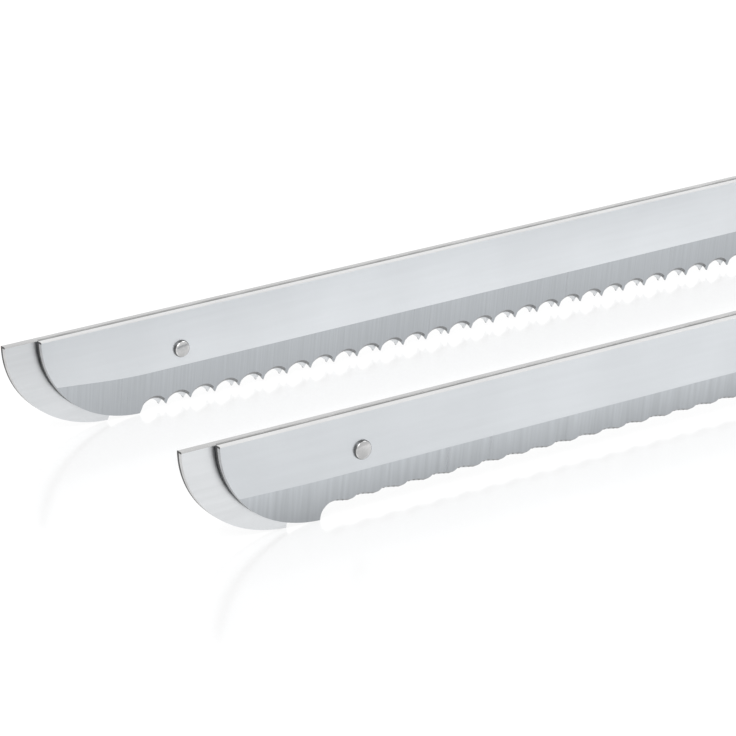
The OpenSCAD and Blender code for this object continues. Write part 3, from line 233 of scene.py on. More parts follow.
def edge_points(kind):
    """Lower edge of a blade as (place from the tip, height), with its teeth and its shoulder."""
    count = math.floor((teeth_end - first_tooth) / tooth_pitch)
    if kind == "fine":
        scoop, teeth = [], []
        for i in range(scoop_steps + 1):
            turn = math.pi / 2 * i / scoop_steps
            place = scoop_start + scoop_len * (1 - math.cos(turn))
            scoop.append((place, scoop_rise * math.sin(turn) - blade_h))
        for k in range(count + 1):
            for along, rise in fine_shares:
                place = fine_first + k * tooth_pitch + along * tooth_pitch
                teeth.append((place, fine_recess - blade_h + rise * fine_depth))
        last = fine_first + (count + 1) * tooth_pitch
        teeth += [(last, fine_recess - blade_h), (last + fine_step, -blade_h)]
        points = scoop + [p for p in teeth if p[0] > scoop_start + scoop_len + fine_step]
    else:
        scallop_r = ((tooth_pitch / 2) ** 2 + scallop_depth ** 2) / (2 * scallop_depth)
        points = [(first_tooth - tooth_pitch - recess_run, -blade_h)]
        for k in range(-1, count):
            for i in range(tooth_steps):
                across = tooth_pitch * (i / tooth_steps - 0.5)
                rise = math.sqrt(scallop_r ** 2 - across ** 2) - scallop_r + scallop_depth
                place = first_tooth + (k + 0.5) * tooth_pitch + across
                points.append((place, rise + scallop_recess - blade_h))
        last = first_tooth + count * tooth_pitch
        points += [(last, scallop_recess - blade_h), (last + recess_run, -blade_h)]
    low = shank_h + spine_rise
    for i in range(shoulder_steps + 1):
        share = i / shoulder_steps
        place = shank_x - plain_len / 2 * (1 - share)
        points.append((place, (blade_h - low) * smooth(0, 1, share) - blade_h))
    return points + [(blade_end, -low)]


def line_at(points, s):
    """Height at s of a line through points."""
    if s <= points[0][0]:
        return -blade_h
    for (a, za), (b, zb) in zip(points, points[1:]):
        if s <= b:
            return za + (zb - za) * (s - a) / (b - a)
    return points[-1][1]


def blade_section(kind, slotted, s, edge_z):
    """Ring of a blade's section at s, as (across, up, zone of the face that follows)."""
    top = -bevel_low[kind] + (bevel_low[kind] - bevel_start[kind]) * (1 - smooth(*bevel_turn, s))
    floor_z = max(edge_z, -tip_depth(s))
    head = -spine_rise * smooth(shank_x - plain_len / 2, shank_x, s)

    def outer(z):
        """Place across the blade of its outer face at height z."""
        slope = (blade_out - blade_in - edge_t) / (top + blade_h)
        return blade_out - max(0, top - z) * slope

    in_tip = floor_z > edge_z + touch or s < tip_len * plain_tip_share
    cut = 0 if in_tip else min(1, max(0, edge_z + blade_h - cut_from[kind]) / cut_blend)
    facet = cut * (fine_facet if kind == "fine" else scallop_facet)
    edge_y = outer(floor_z) + cut * (blade_in + keen_t - outer(floor_z))
    corner = min(spine_round, -floor_z / 3)
    inner_corner = min(gap_round, -floor_z / 3)
    high = max(top + bevel_round, floor_z + 3 * sliver)
    low = max(top - bevel_round, floor_z + 2 * sliver)
    facet_z = floor_z + max(facet, sliver)
    # The tip's cut edge is split into a strip painted dark, as a dark reflection, and a strip of
    # plain tone.
    painted_dark_share = 1 - rim_painted_dark_share if slotted else rim_painted_dark_share
    rim_y = blade_in + painted_dark_share * (edge_y - blade_in)
    # The far blade's spine takes the spine's steel with painted shade.
    spine = "far_spine_painted_shade" if slotted else "spine"
    # The inner corner by the spine is painted with the gap's shade wherever the other blade lies
    # beside it.
    gap_zone = "gap" if not slotted or s > tip_step + 2 * gap_round else spine
    return [
        (blade_in, floor_z, "inner"),
        (blade_in, head - inner_corner, gap_zone),
        (blade_in + inner_corner * arc_share, head - inner_corner * arc_share, gap_zone),
        (blade_in + inner_corner, head, spine),
        (blade_out - corner, head, spine),
        (blade_out - corner * arc_share, head - corner * arc_share, spine),
        (blade_out, head - corner, "flat"),
        (outer(high), min(high, -corner), "flat"),
        (outer(low), min(low, -corner), "bevel"),
        (outer(facet_z), min(facet_z, -corner), "facet" if cut else "bevel"),
        (edge_y, floor_z, ("rim" if slotted else "tip_edge") if in_tip else "facet"),
        (rim_y, floor_z, ("tip_edge" if slotted else "rim") if in_tip else "facet")]


cloud_scale = 55.0
tint_run = (0.32, 0.68)
roughness_run = (0.8, 1.2)
grain_height = 0.02
# A colour Mix node's sockets, by place: its two inputs, and its output
mix_a, mix_b, mix_out = 6, 7, 2


def tinted(name, tone, low_tone, roughness, grain_scale, grain_share, bump=0.0, painted_shade=None):
    """Metal that wanders between two tones along its grain, with painted shade that darkens it where
    the shade's ramp starts.
    """
    finish = bpy.data.materials.new(name)
    finish.use_nodes = True
    tree = finish.node_tree
    surface = tree.nodes["Principled BSDF"]
    surface.inputs["Metallic"].default_value = 1.0
    place = tree.nodes.new("ShaderNodeTexCoord")
    stretch = tree.nodes.new("ShaderNodeMapping")
    stretch.inputs["Scale"].default_value = grain_scale
    link(tree, place, "Object", stretch, "Vector")
    grain = tree.nodes.new("ShaderNodeTexNoise")
    grain.inputs["Scale"].default_value = 1.0
    grain.inputs["Detail"].default_value = 3.0
    link(tree, stretch, "Vector", grain, "Vector")
    cloud = tree.nodes.new("ShaderNodeTexNoise")
    cloud.inputs["Scale"].default_value = cloud_scale
    link(tree, place, "Object", cloud, "Vector")
    blend = tree.nodes.new("ShaderNodeMix")
    blend.inputs["Factor"].default_value = grain_share
    link(tree, cloud, "Fac", blend, "A")
    link(tree, grain, "Fac", blend, "B")
    tint = tree.nodes.new("ShaderNodeValToRGB")
    tint.color_ramp.elements[0].position = tint_run[0]
    tint.color_ramp.elements[0].color = low_tone + (1,)
    tint.color_ramp.elements[1].position = tint_run[1]
    tint.color_ramp.elements[1].color = tone + (1,)
    link(tree, blend, "Result", tint, "Fac")
    # Painted shade: the tint is multiplied by a ramp along one object axis, darkest at the ramp's
    # start.
    if painted_shade:
        axis, start, end, share = painted_shade
        split = tree.nodes.new("ShaderNodeSeparateXYZ")
        link(tree, place, "Object", split, "Vector")
        ramp = tree.nodes.new("ShaderNodeMapRange")
        ramp.inputs["From Min"].default_value = start * mm
        ramp.inputs["From Max"].default_value = end * mm
        ramp.inputs["To Min"].default_value = 1 - share
        ramp.inputs["To Max"].default_value = 1.0
        link(tree, split, axis, ramp, "Value")
        painted_shaded = tree.nodes.new("ShaderNodeMix")
        painted_shaded.data_type = "RGBA"
        painted_shaded.blend_type = "MULTIPLY"
        painted_shaded.inputs["Factor"].default_value = 1.0
        link(tree, tint, "Color", painted_shaded, mix_a)
        link(tree, ramp, "Result", painted_shaded, mix_b)
        link(tree, painted_shaded, mix_out, surface, "Base Color")
    else:
        link(tree, tint, "Color", surface, "Base Color")
    rough = tree.nodes.new("ShaderNodeMapRange")
    rough.inputs["To Min"].default_value = roughness * roughness_run[0]
    rough.inputs["To Max"].default_value = roughness * roughness_run[1]
    link(tree, grain, "Fac", rough, "Value")
    link(tree, rough, "Result", surface, "Roughness")
    if bump:
        relief = tree.nodes.new("ShaderNodeBump")
        relief.inputs["Strength"].default_value = bump
        relief.inputs["Distance"].default_value = grain_height * mm
        link(tree, grain, "Fac", relief, "Height")
        link(tree, relief, "Normal", surface, "Normal")
    return finish


def grey(level, cool=0.0):
    """Linear colour of a grey given as a screen level out of 255, with a share of blue for red."""
    linear = ((level / 255 + 0.055) / 1.055) ** 2.4
    return (linear * (1 - cool), linear, linear * (1 + cool))


# Each painted shade: its axis, its start and end in millimetres, and the share by which it starts
# darker
# Painted shade: the flats are darker towards the tip.
tip_painted_shade = ("X", -295, -235, 0.1)
# Painted shade: the bevels are darker low down, towards the worktop, for the shadow under the blades
# that they mirror.
coarse_painted_shade = ("Z", 0, 7.2, 0.12)
fine_painted_shade = ("Z", 1, 7.2, 0.3)
long_grain = (60, 900, 900)
blade_zones = {
    "flat": tinted("blade_flat", grey(234, 0.03), grey(225, 0.03), 0.32, long_grain, 0.35, 0.05,
        tip_painted_shade),
    "inner": tinted("blade_back", grey(226, 0.02), grey(214, 0.02), 0.3, long_grain, 0.5, 0.05),
    "bevel": tinted("blade_bevel", grey(195, 0.045), grey(183, 0.045), 0.3, (3200, 40, 60), 0.75, 0.1,
        coarse_painted_shade),
    "spine": tinted("blade_spine", grey(232), grey(222), 0.18, (120, 500, 500), 0.5, 0.05),
    # Painted shade: the far blade's spine is the same steel as the near one's, given a darker tone.
    "far_spine_painted_shade": tinted("far_blade_spine_painted_shade", grey(206), grey(192), 0.24, (120, 500, 500), 0.5, 0.05),
    "facet": tinted("blade_cut", grey(152, 0.02), grey(118, 0.02), 0.3, (2200, 100, 300), 0.7, 0.15),
    "tip_edge": tinted("blade_tip_edge", grey(212), grey(190), 0.3, (600, 300, 600), 0.6, 0.1),
    # Painted shade: the dark line in the narrow gap between the two blades' spines.
    "gap": tinted("blade_gap_painted_shade", grey(185), grey(150), 0.35, (200, 300, 600), 0.6, 0.1),
    # Painted dark reflection: a strip of the tip's cut edge is dark, the rest keeps the plainer tone
    # of blade_tip_edge.
    "rim": tinted("blade_tip_rim_painted_dark", grey(104), grey(66), 0.35, (600, 300, 600), 0.6, 0.15)}

fine_zones = dict(blade_zones)
fine_zones["flat"] = tinted("fine_flat", grey(224, 0.035), grey(215, 0.035), 0.32, long_grain,
    0.35, 0.05, tip_painted_shade)
fine_zones["bevel"] = tinted("fine_bevel", grey(203, 0.045), grey(188, 0.045), 0.3,
    (1500, 40, 60), 0.8, 0.1, fine_painted_shade)


def prism(name, corners, y0, y1):
    """Closed bar along Y with the given (x, z) outline, anticlockwise as seen from -Y."""
    count = len(corners)
    points = [(x, y, z) for y in (y0, y1) for x, z in corners]
    faces = [tuple(range(count)), tuple(range(count, 2 * count))[::-1]]
    for i in range(count):
        faces.append((count + i, count + (i + 1) % count, (i + 1) % count, i))
    mesh = bpy.data.meshes.new(name)
    mesh.from_pydata([Vector(p) * mm for p in points], [], faces)
    return bpy.data.objects.new(name, mesh)


def round_outline(x, z, half, r, steps=24):
    """Outline of a slot with round ends, or of a circle where half is 0."""
    corners = []
    for i in range(2 * steps):
        turn = 2 * math.pi * (i + 0.5) / (2 * steps)
        side = math.copysign(half, math.cos(turn))
        corners.append((x + side + r * math.cos(turn), z + r * math.sin(turn)))
    return corners


def carve(piece, others, how="DIFFERENCE"):
    """Joins, cuts or intersects a piece with others and keeps only the result."""
    scene.collection.objects.link(piece)
    for other in others:
        scene.collection.objects.link(other)
        cut = piece.modifiers.new("cut", "BOOLEAN")
        cut.operation = how
        cut.solver = "MANIFOLD"
        cut.object = other
    graph = bpy.context.evaluated_depsgraph_get()
    shape = bpy.data.meshes.new_from_object(piece.evaluated_get(graph))
    shape.name = piece.name
    piece.modifiers.clear()
    piece.data = shape
    for other in others:
        bpy.data.objects.remove(other)
    scene.collection.objects.unlink(piece)
    return piece


def round_shade(piece, corner):
    """Shades a piece smooth but for edges that turn by more than corner degrees."""
    piece.data.shade_smooth()
    piece.data.set_sharp_from_angle(angle=math.radians(corner))


def blade_piece(name, kind, slotted, tip, turn, left):
    """Blade lofted from its sections, with a rivet hole or slot, laid at its tip's place."""
    edge = edge_points(kind)
    tip_places = [tip_len * (1 - math.cos(math.pi / 2 * i / tip_steps)) for i in range(tip_steps + 1)]
    places = [s for s in tip_places if s < edge[0][0]] + [point[0] for point in edge]
    places = [0.0] + [s for s in places if s > tip_start]
    rings = [blade_section(kind, slotted, max(s, tip_start), line_at(edge, s)) for s in places]
    points = [(s, corner[0], corner[1]) for s, ring in zip(places, rings) for corner in ring]
    ring_len = len(rings[0])
    zone_names = list(blade_zones)
    faces, zones = [], []
    for i, ring in enumerate(rings[1:]):
        for j in range(ring_len):
            a, b = i * ring_len + j, i * ring_len + (j + 1) % ring_len
            faces.append((a, a + ring_len, b + ring_len, b))
            zones.append(zone_names.index(ring[j][2]))
    faces.append(tuple(range(ring_len)))
    faces.append(tuple(range(len(points) - ring_len, len(points)))[::-1])
    zones += [zone_names.index("rim"), zone_names.index("inner")]
    mesh = bpy.data.meshes.new(name)
    mesh.from_pydata([Vector(p) * mm for p in points], [], faces)
    for finish in (fine_zones if kind == "fine" else blade_zones).values():
        mesh.materials.append(finish)
    mesh.polygons.foreach_set("material_index", zones)
    piece = bpy.data.objects.new(name, mesh)
    half, hole_r = (slot_half, slot_r) if slotted else (0, rivet_r)
    outline = round_outline(rivet_x[kind], -rivet_drop[kind], half, hole_r)
    carve(piece, [prism("hole", outline, *hole_run)])
    mesh = piece.data
    place = Matrix.Translation(tip * mm) @ Matrix.Rotation(turn, 4, "Z")
    if slotted:
        place = place @ Matrix.Translation((-tip_step * mm, 0, 0))
    if left:
        place = place @ Matrix.Diagonal((1, -1, 1, 1))
    mesh.transform(place)
    if left:
        mesh.flip_normals()
    round_shade(piece, blade_shade_corner)
    scene.collection.objects.link(piece)
    return piece


# Each blade: its name and kind, whether it has the slot, its pair's place and turn,
# whether it is the left one, its body and the node it replaces
blade_rows = [
    ("coarse_blade_left", "coarse", False, left_tip, 0, True, "left_cutter", "left_blade"),
    ("coarse_blade_right", "coarse", True, left_tip, 0, False, "right_cutter", "right_blade"),
    ("fine_blade_left", "fine", False, spare_tip, spare_turn, True, "spare_left", "spare_left_blade"),
    ("fine_blade_right", "fine", True, spare_tip, spare_turn, False, "spare_right",
        "spare_right_blade")]
for name, kind, slotted, tip, turn, left, body, node in blade_rows:
    piece = blade_piece(name, kind, slotted, tip, turn, left)
    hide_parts(node)
    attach(piece, body)


# Blade rivets
# Turned steel rivets: a tall round head with a slightly domed face on the
# left blade, a shank through the other blade's slot, and a low peened head.
rivet_head_r = {"coarse": 1.42, "fine": 1.55}
rivet_head_h = 0.75
rivet_sides = 72
rivet_play = 0.05
wall_turn = 0.62
rivet_shade_corner = 40
# Shares of a head's radius and height: the tall domed head, then the low peened one
dome_shares = [(1.0, 0.2), (0.985, 0.38), (0.94, 0.54), (0.86, 0.68), (0.74, 0.80), (0.56, 0.90),
    (0.30, 0.98)]
peened_shares = [(1.0, 0.0), (1.0, 0.25), (0.85, 0.45), (0.3, 0.5)]
rivet_face = tinted("rivet_face", grey(214), grey(172), 0.22, (400, 400, 400), 0.6, 0.1)
# Painted dark reflection: the heads' side walls are given dark steel, for the dark they mirror.
rivet_wall_painted_dark = tinted("rivet_wall_painted_dark", grey(120), grey(84), 0.3, (300, 900, 300), 0.6, 0.1)


def turned(name, profile, sides):
    """Closed piece turned about Y through the origin, from (radius, place along Y) pairs."""
    points = [(0, profile[0][1], 0)]
    for r, y in profile:
        for k in range(sides):
            turn = 2 * math.pi * k / sides
            points.append((r * math.cos(turn), y, r * math.sin(turn)))
    points.append((0, profile[-1][1], 0))
    faces = [(1 + k, 1 + (k + 1) % sides, 0) for k in range(sides)]
    for i in range(len(profile) - 1):
        for k in range(sides):
            a, b = 1 + i * sides + k, 1 + i * sides + (k + 1) % sides
            faces.append((a + sides, b + sides, b, a))
    last = 1 + (len(profile) - 1) * sides
    faces += [(last + (k + 1) % sides, last + k, len(points) - 1) for k in range(sides)]
    mesh = bpy.data.meshes.new(name)
    mesh.from_pydata([Vector(p) * mm for p in points], [], faces)
    return bpy.data.objects.new(name, mesh)


for name, kind, tip, turn, body, node in (
        ("coarse_pair_rivet", "coarse", left_tip, 0, "left_cutter", "blade_rivet"),
        ("fine_pair_rivet", "fine", spare_tip, spare_turn, "spare_left", "spare_blade_rivet")):
    head_r = rivet_head_r[kind]
    low_head = blade_out + rivet_play
    profile = [(head_r * r, -blade_out - rivet_head_h * h) for r, h in reversed(dome_shares)]
    profile += [(head_r, -blade_out), (rivet_r, -blade_out), (rivet_r, low_head)]
    profile += [(head_r * r, low_head + rivet_head_h * h) for r, h in peened_shares]
    piece = turned(name, profile, rivet_sides)
    piece.data.materials.append(rivet_face)
    piece.data.materials.append(rivet_wall_painted_dark)
    # Faces turned sideways from the rivet's axis, the heads' side walls, take the painted dark
    # reflection.
    for face in piece.data.polygons:
        face.material_index = 1 if abs(face.normal.y) < wall_turn else 0
    at = Matrix.Translation(Vector((rivet_x[kind], 0, -rivet_drop[kind])) * mm)
    piece.data.transform(Matrix.Translation(tip * mm) @ Matrix.Rotation(turn, 4, "Z") @ at)
    round_shade(piece, rivet_shade_corner)
    scene.collection.objects.link(piece)
    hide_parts(node)
    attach(piece, body)


# Tangs and their rivets
# Moulded ends riveted to the shanks. The slider's leaf snaps into their
# notch, so the blade locks into the handle.
edge_round = 0.18
round_corner = 35
weld_reach = 0.001
drift_scale = 45.0
drift_run = (0.3, 0.7)
roughness_drift = 0.06
mould_grain_height = 0.03


def moulded(name, colour, roughness, grain=2600.0, relief=0.25, mottle=0.06, specular=0.5):
    """Moulded plastic or rubber: fine spark-eroded grain and a slow drift of tone."""
    finish = bpy.data.materials.new(name)
    finish.use_nodes = True
    tree = finish.node_tree
    surface = tree.nodes["Principled BSDF"]
    surface.inputs["Specular IOR Level"].default_value = specular
    place = tree.nodes.new("ShaderNodeTexCoord")
    fine = tree.nodes.new("ShaderNodeTexNoise")
    fine.inputs["Scale"].default_value = grain
    fine.inputs["Detail"].default_value = 2.0
    link(tree, place, "Object", fine, "Vector")
    slow = tree.nodes.new("ShaderNodeTexNoise")
    slow.inputs["Scale"].default_value = drift_scale
    slow.inputs["Detail"].default_value = 4.0
    link(tree, place, "Object", slow, "Vector")
    tint = tree.nodes.new("ShaderNodeValToRGB")
    tint.color_ramp.elements[0].position = drift_run[0]
    tint.color_ramp.elements[0].color = tuple(c * (1 - mottle) for c in colour) + (1,)
    tint.color_ramp.elements[1].position = drift_run[1]
    tint.color_ramp.elements[1].color = tuple(min(1, c * (1 + mottle)) for c in colour) + (1,)
    link(tree, slow, "Fac", tint, "Fac")
    link(tree, tint, "Color", surface, "Base Color")
    rough = tree.nodes.new("ShaderNodeMapRange")
    rough.inputs["To Min"].default_value = roughness - roughness_drift
    rough.inputs["To Max"].default_value = roughness + roughness_drift
    link(tree, fine, "Fac", rough, "Value")
    link(tree, rough, "Result", surface, "Roughness")
    bump = tree.nodes.new("ShaderNodeBump")
    bump.inputs["Strength"].default_value = relief
    bump.inputs["Distance"].default_value = mould_grain_height * mm
    link(tree, fine, "Fac", bump, "Height")
    link(tree, bump, "Normal", surface, "Normal")
    return finish


def dress(node, finish, rounding=edge_round):
    """Gives a CAD node its finish and rounds its sharp edges."""
    piece = nodes[node]
    piece.data.materials.clear()
    piece.data.materials.append(finish)
    weld = piece.modifiers.new("weld", "WELD")
    weld.merge_threshold = weld_reach * mm
    edges = piece.modifiers.new("round_edges", "BEVEL")
    edges.width = rounding * mm
    edges.segments = 2
    edges.limit_method = "ANGLE"
    edges.angle_limit = math.radians(round_corner)
    edges.harden_normals = True


tang_finish = moulded("tang_plastic", grey(222), 0.42)
tang_rivet_finish = tinted("tang_rivet_steel", grey(214), grey(188), 0.3, (500, 500, 500), 0.5, 0.1)
for node in ("left_tang", "right_tang", "spare_left_tang", "spare_right_tang"):
    dress(node, tang_finish)
for node in ("left_tang_rivets", "right_tang_rivets", "spare_left_rivets", "spare_right_rivets"):
    dress(node, tang_rivet_finish, 0.12)


# Housing shells
# Two satin white mouldings that meet on the knife's mid-plane and close into
# a loop round the finger opening. Screws from the right pull them together.
shell_body_front = 100
shell_pad_h = 2
opening_mid = (8, 73)
opening_half = (49, 13)
reach_low = 71
reach_rear = 92
reach_top = 41
reach_front = 130
corner_turn = 35
corner_share = 0.86
# The slope over the nose: its run and rise, and its top measured from opening_mid
slope_run = 40
slope_rise = 58
slope_top = (-68, 30)
slope_turn = 180 - math.degrees(math.atan2(slope_run, slope_rise))
slope_reach = (slope_top[0] * math.cos(math.radians(slope_turn))
    + slope_top[1] * math.sin(math.radians(slope_turn)))
# Each side of the outline: its direction in degrees and how far it lies from opening_mid
shell_sides = [
    (-90, reach_low),
    (0, reach_rear),
    (corner_turn, corner_share * math.hypot(reach_rear, reach_top)),
    (90, reach_top),
    (slope_turn, slope_reach),
    (180, reach_front)]
outline_power = 9
opening_power = 4
flat_cut = 1.5
grip_half_w = 15
body_half_w = 27
nose_w = 35
nose_narrowing = 1 - nose_w / (2 * body_half_w)
taper_run = (44, 100)
widening_run = (-0.35, 0.6)
grip_power = 2.7
body_power_gain = 1.8
wall = 2.4
seam_half = 0.15
seam_deep = 0.35
skin_turns, skin_sides = 180, 88
cavity_turns, cavity_sides = 96, 48


def signed_power(v, p):
    """Power of v's size, with v's sign."""
    return math.copysign(abs(v) ** p, v)


def shell_point(a, t, inset):
    """Point on the loop's skin, a round the opening and t round the section, inset into the wall."""
    side_sum = 0
    for direction, distance in shell_sides:
        reach = distance - inset + (flat_cut if direction == -90 and not inset else 0)
        side_sum += (max(0, math.cos(a - math.radians(direction))) / reach) ** outline_power
    outer = side_sum ** (-1 / outline_power)
    inner = ((abs(math.cos(a)) / (opening_half[0] + inset)) ** opening_power
        + (abs(math.sin(a)) / (opening_half[1] + inset)) ** opening_power) ** (-1 / opening_power)
    share = smooth(*widening_run, -math.sin(a))
    half_w = grip_half_w + share * (body_half_w - grip_half_w) - inset
    power = 2 / (grip_power + share * body_power_gain)
    r = (inner + outer) / 2 + (outer - inner) / 2 * signed_power(math.cos(t), power)
    x = opening_mid[0] + r * math.cos(a)
    y = half_w * signed_power(math.sin(t), power) * (1 - nose_narrowing * smooth(*taper_run, -x))
    return x, y, opening_mid[1] + r * math.sin(a)


def loop_ring(name, inset, turns, sides):
    """Closed loop handle, inset into the wall, from a grid of points on its skin."""
    points = [shell_point(2 * math.pi * i / turns, 2 * math.pi * j / sides, inset)
        for i in range(turns) for j in range(sides)]
    faces = []
    for i in range(turns):
        for j in range(sides):
            a, b = i * sides + j, ((i + 1) % turns) * sides + j
            c, d = ((i + 1) % turns) * sides + (j + 1) % sides, i * sides + (j + 1) % sides
            faces.append((a, d, c, b))
    mesh = bpy.data.meshes.new(name)
    mesh.from_pydata([Vector(p) * mm for p in points], [], faces)
    return bpy.data.objects.new(name, mesh)


boss_r = 4.6
screw_hold_r = 1.55
screw_pocket_r = 3.3
screw_hold = 9
# Each screw's place along the knife and up, its head's seat and its boss's end
shell_screw_places = [(-31.2, 49.5, 14.04, 8), (-66.9, 42.5, 14.04, 8), (62.2, 49.5, 14.04, 8),
    (78, 11, 14.04, 0), (-88, 39, 7.02, 0), (73, 88, 7.8, 0), (-46, 94, 7.8, 0)]
stator_half_w = 21
stator_half_h = 19
motor_z = 35.5
rib_places = (8.5, 21.5)
rib_half_t = 1
# Boxes that are added or cut, each as its low and its high corner
switch_seat = ((-31.75, 7, 99.625), (-6.25, 15, 105.25))
inlet_rib = ((76, 12, 24), (80, 27, 32))
blade_passage = ((-101, -1, 4.9), (-62, 12.2, 17.6))
trigger_slot = ((-36.3, -1, 73), (8.3, 7.3, 92))
lock_slot = ((-24.3, -1, 109.2), (-9.7, 3.3, 116.4))
inlet_window = ((75, -1, 20.5), (101, 12, 35.5))
trigger_pin_at = (4, 93.5)
trigger_boss_r = 4
trigger_boss_run = (7.3, 15)
trigger_pin_r = 2.03
trigger_pin_run = (-1, 11.4)
release_at = (-68, 11.25)
release_r = 5.3
release_half = 4
release_from = 12.6
vent_starts = (-19, 37)
vents_in_row = 5
vent_pitch = 4.5
vent_z = (25, 45)
vent_r = 1.1
vent_sides = 24
bar_steps = 16
wide = 60
far = 150
shell_shade_corner = 28


def bar(at, r, y0, y1, half=0.0):
    """Round or slot-shaped bar along Y."""
    return prism("bar", round_outline(at[0], at[1], half, r, bar_steps), y0, y1)


def box(low, high):
    """Square block between two corners."""
    corners = [(low[0], low[2]), (high[0], low[2]), (high[0], high[2]), (low[0], high[2])]
    return prism("box", corners, low[1], high[1])


def vent(x):
    """Upright vent slot with round ends."""
    corners = []
    for i in range(vent_sides):
        turn = 2 * math.pi * (i + 0.5) / vent_sides
        end = vent_z[1] if math.sin(turn) > 0 else vent_z[0]
        corners.append((x + vent_r * math.cos(turn), end + vent_r * math.sin(turn)))
    return prism("vent", corners, 0, wide)


def shell_piece(name, left):
    """Half of the loop handle with its bosses, ribs and openings."""
    skin = loop_ring(name, 0, skin_turns, skin_sides)
    shell = carve(skin, [loop_ring("cavity", wall, cavity_turns, cavity_sides)])
    holds = [bar((x, z), boss_r, boss_end, wide) for x, z, seat, boss_end in shell_screw_places]
    for x in rib_places:
        holds.append(box((x - rib_half_t, stator_half_w, motor_z - stator_half_h / 2),
            (x + rib_half_t, body_half_w, motor_z + stator_half_h / 2)))
    holds += [
        box(*switch_seat),
        bar(trigger_pin_at, trigger_boss_r, *trigger_boss_run),
        box(*inlet_rib)]
    holds = carve(holds[0], holds[1:], "UNION")
    middle = loop_ring("middle_of_wall", wall / 2, skin_turns, skin_sides)
    shell = carve(shell, [carve(holds, [middle], "INTERSECT")], "UNION")
    seam = box((-far, -1, -1), (far, seam_half, far))
    seam = carve(seam, [loop_ring("seam", seam_deep, skin_turns, skin_sides)])
    cuts = [
        box((-2 * far, -wide, -wide), (2 * far, 0, 2 * far)),
        box((-2 * far, -wide, -wide), (2 * far, wide, shell_pad_h)),
        box((-2 * far, -wide, -wide), (-shell_body_front, wide, 2 * far)),
        seam,
        box(*blade_passage)]
    for x, z, seat, boss_end in shell_screw_places:
        cuts.append(bar((x, z), screw_hold_r, -1, boss_end + screw_hold + 1 if left else wide))
        if not left:
            cuts.append(bar((x, z), screw_pocket_r, seat, wide))
    cuts += [
        box(*trigger_slot),
        bar(trigger_pin_at, trigger_pin_r, *trigger_pin_run),
        box(*lock_slot),
        bar(release_at, release_r, release_from, wide, release_half),
        box(*inlet_window)]
    for start in vent_starts:
        cuts += [vent(start + k * vent_pitch) for k in range(vents_in_row)]
    shell = carve(shell, cuts)
    if left:
        shell.data.transform(Matrix.Diagonal((1, -1, 1, 1)))
        shell.data.flip_normals()
    round_shade(shell, shell_shade_corner)
    scene.collection.objects.link(shell)
    return shell


shell_finish = moulded("satin_white_shell", grey(228, 0.01), 0.36, 2200.0, 0.3, 0.03)
for name, left, node in (("left_half", True, "left_shell"), ("right_half", False, "right_shell")):
    piece = shell_piece(name, left)
    piece.data.materials.clear()
    piece.data.materials.append(shell_finish)
    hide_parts(node)
    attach(piece, "housing")


# Nose guard and base pad
# A dark moulded collar plugged into the shells' nose round the blades, and a
# ribbed rubber pad glued under the housing so that it doesn't slide.
dark_finish = moulded("dark_plastic", (0.030, 0.033, 0.038), 0.5, 2400.0, 0.4, 0.12)
pad_finish = moulded("rubber_pad", (0.016, 0.016, 0.018), 0.72, 1400.0, 0.6, 0.15, 0.3)
dress("nose_guard", dark_finish, 0.5)
dress("base_pad", pad_finish, 0.4)


# Screws, shafts, worm and bearings
# Zinc-plated screws hold the shells and the motor together, those of the shells
# with cross recesses. What turns or bears is ground steel.
zinc_finish = tinted("zinc_plate", (0.56, 0.57, 0.60), (0.42, 0.43, 0.44), 0.34,
    (300, 300, 300), 0.4, 0.1)
ground_finish = tinted("ground_steel", (0.66, 0.67, 0.68), (0.52, 0.53, 0.54), 0.22,
    (60, 2500, 2500), 0.7, 0.1)
for node in ("shell_screws", "motor_screws"):
    dress(node, zinc_finish, 0.15)
for node in ("gear_axle", "armature_shaft", "trigger_pin"):
    dress(node, ground_finish, 0.15)
for node in ("worm", "middle_bearing", "rear_bearing"):
    dress(node, ground_finish, 0.08)


# Inlet
# A dark moulded socket with two turned brass pins in its recess, where the
# detachable lead plugs in.
brass_finish = tinted("turned_brass", (0.72, 0.52, 0.22), (0.58, 0.40, 0.15), 0.28,
    (1500, 200, 200), 0.5, 0.1)
dress("inlet_socket", dark_finish, 0.3)
dress("inlet_pins", brass_finish, 0.25)


# Gear train, fan, bush and brush holders
# A natural nylon frame, gear and sliders, with brass eccentrics on the gear.
# The motor's fan and rear bracket are nylon too, its bush and brush holders brass.
nylon_finish = moulded("natural_nylon", (0.78, 0.77, 0.69), 0.4, 1800.0, 0.2, 0.05)
for node in ("gear_frame", "rear_bracket", "left_slider", "right_slider"):
    dress(node, nylon_finish)
dress("drive_gear", nylon_finish, 0.1)
dress("cooling_fan", nylon_finish, 0.15)
for node in ("left_eccentric", "right_eccentric", "front_bush", "brush_holders"):
    dress(node, brass_finish, 0.15)


# Motor iron and copper
# Stator and armature are stacks of thin sheets, seen as fine bands along the
# knife. The coils are wound from enamelled wire.
wave_length = 0.314
band_height = 0.1
band_wobble = 0.4
wobble_scale = 20.0


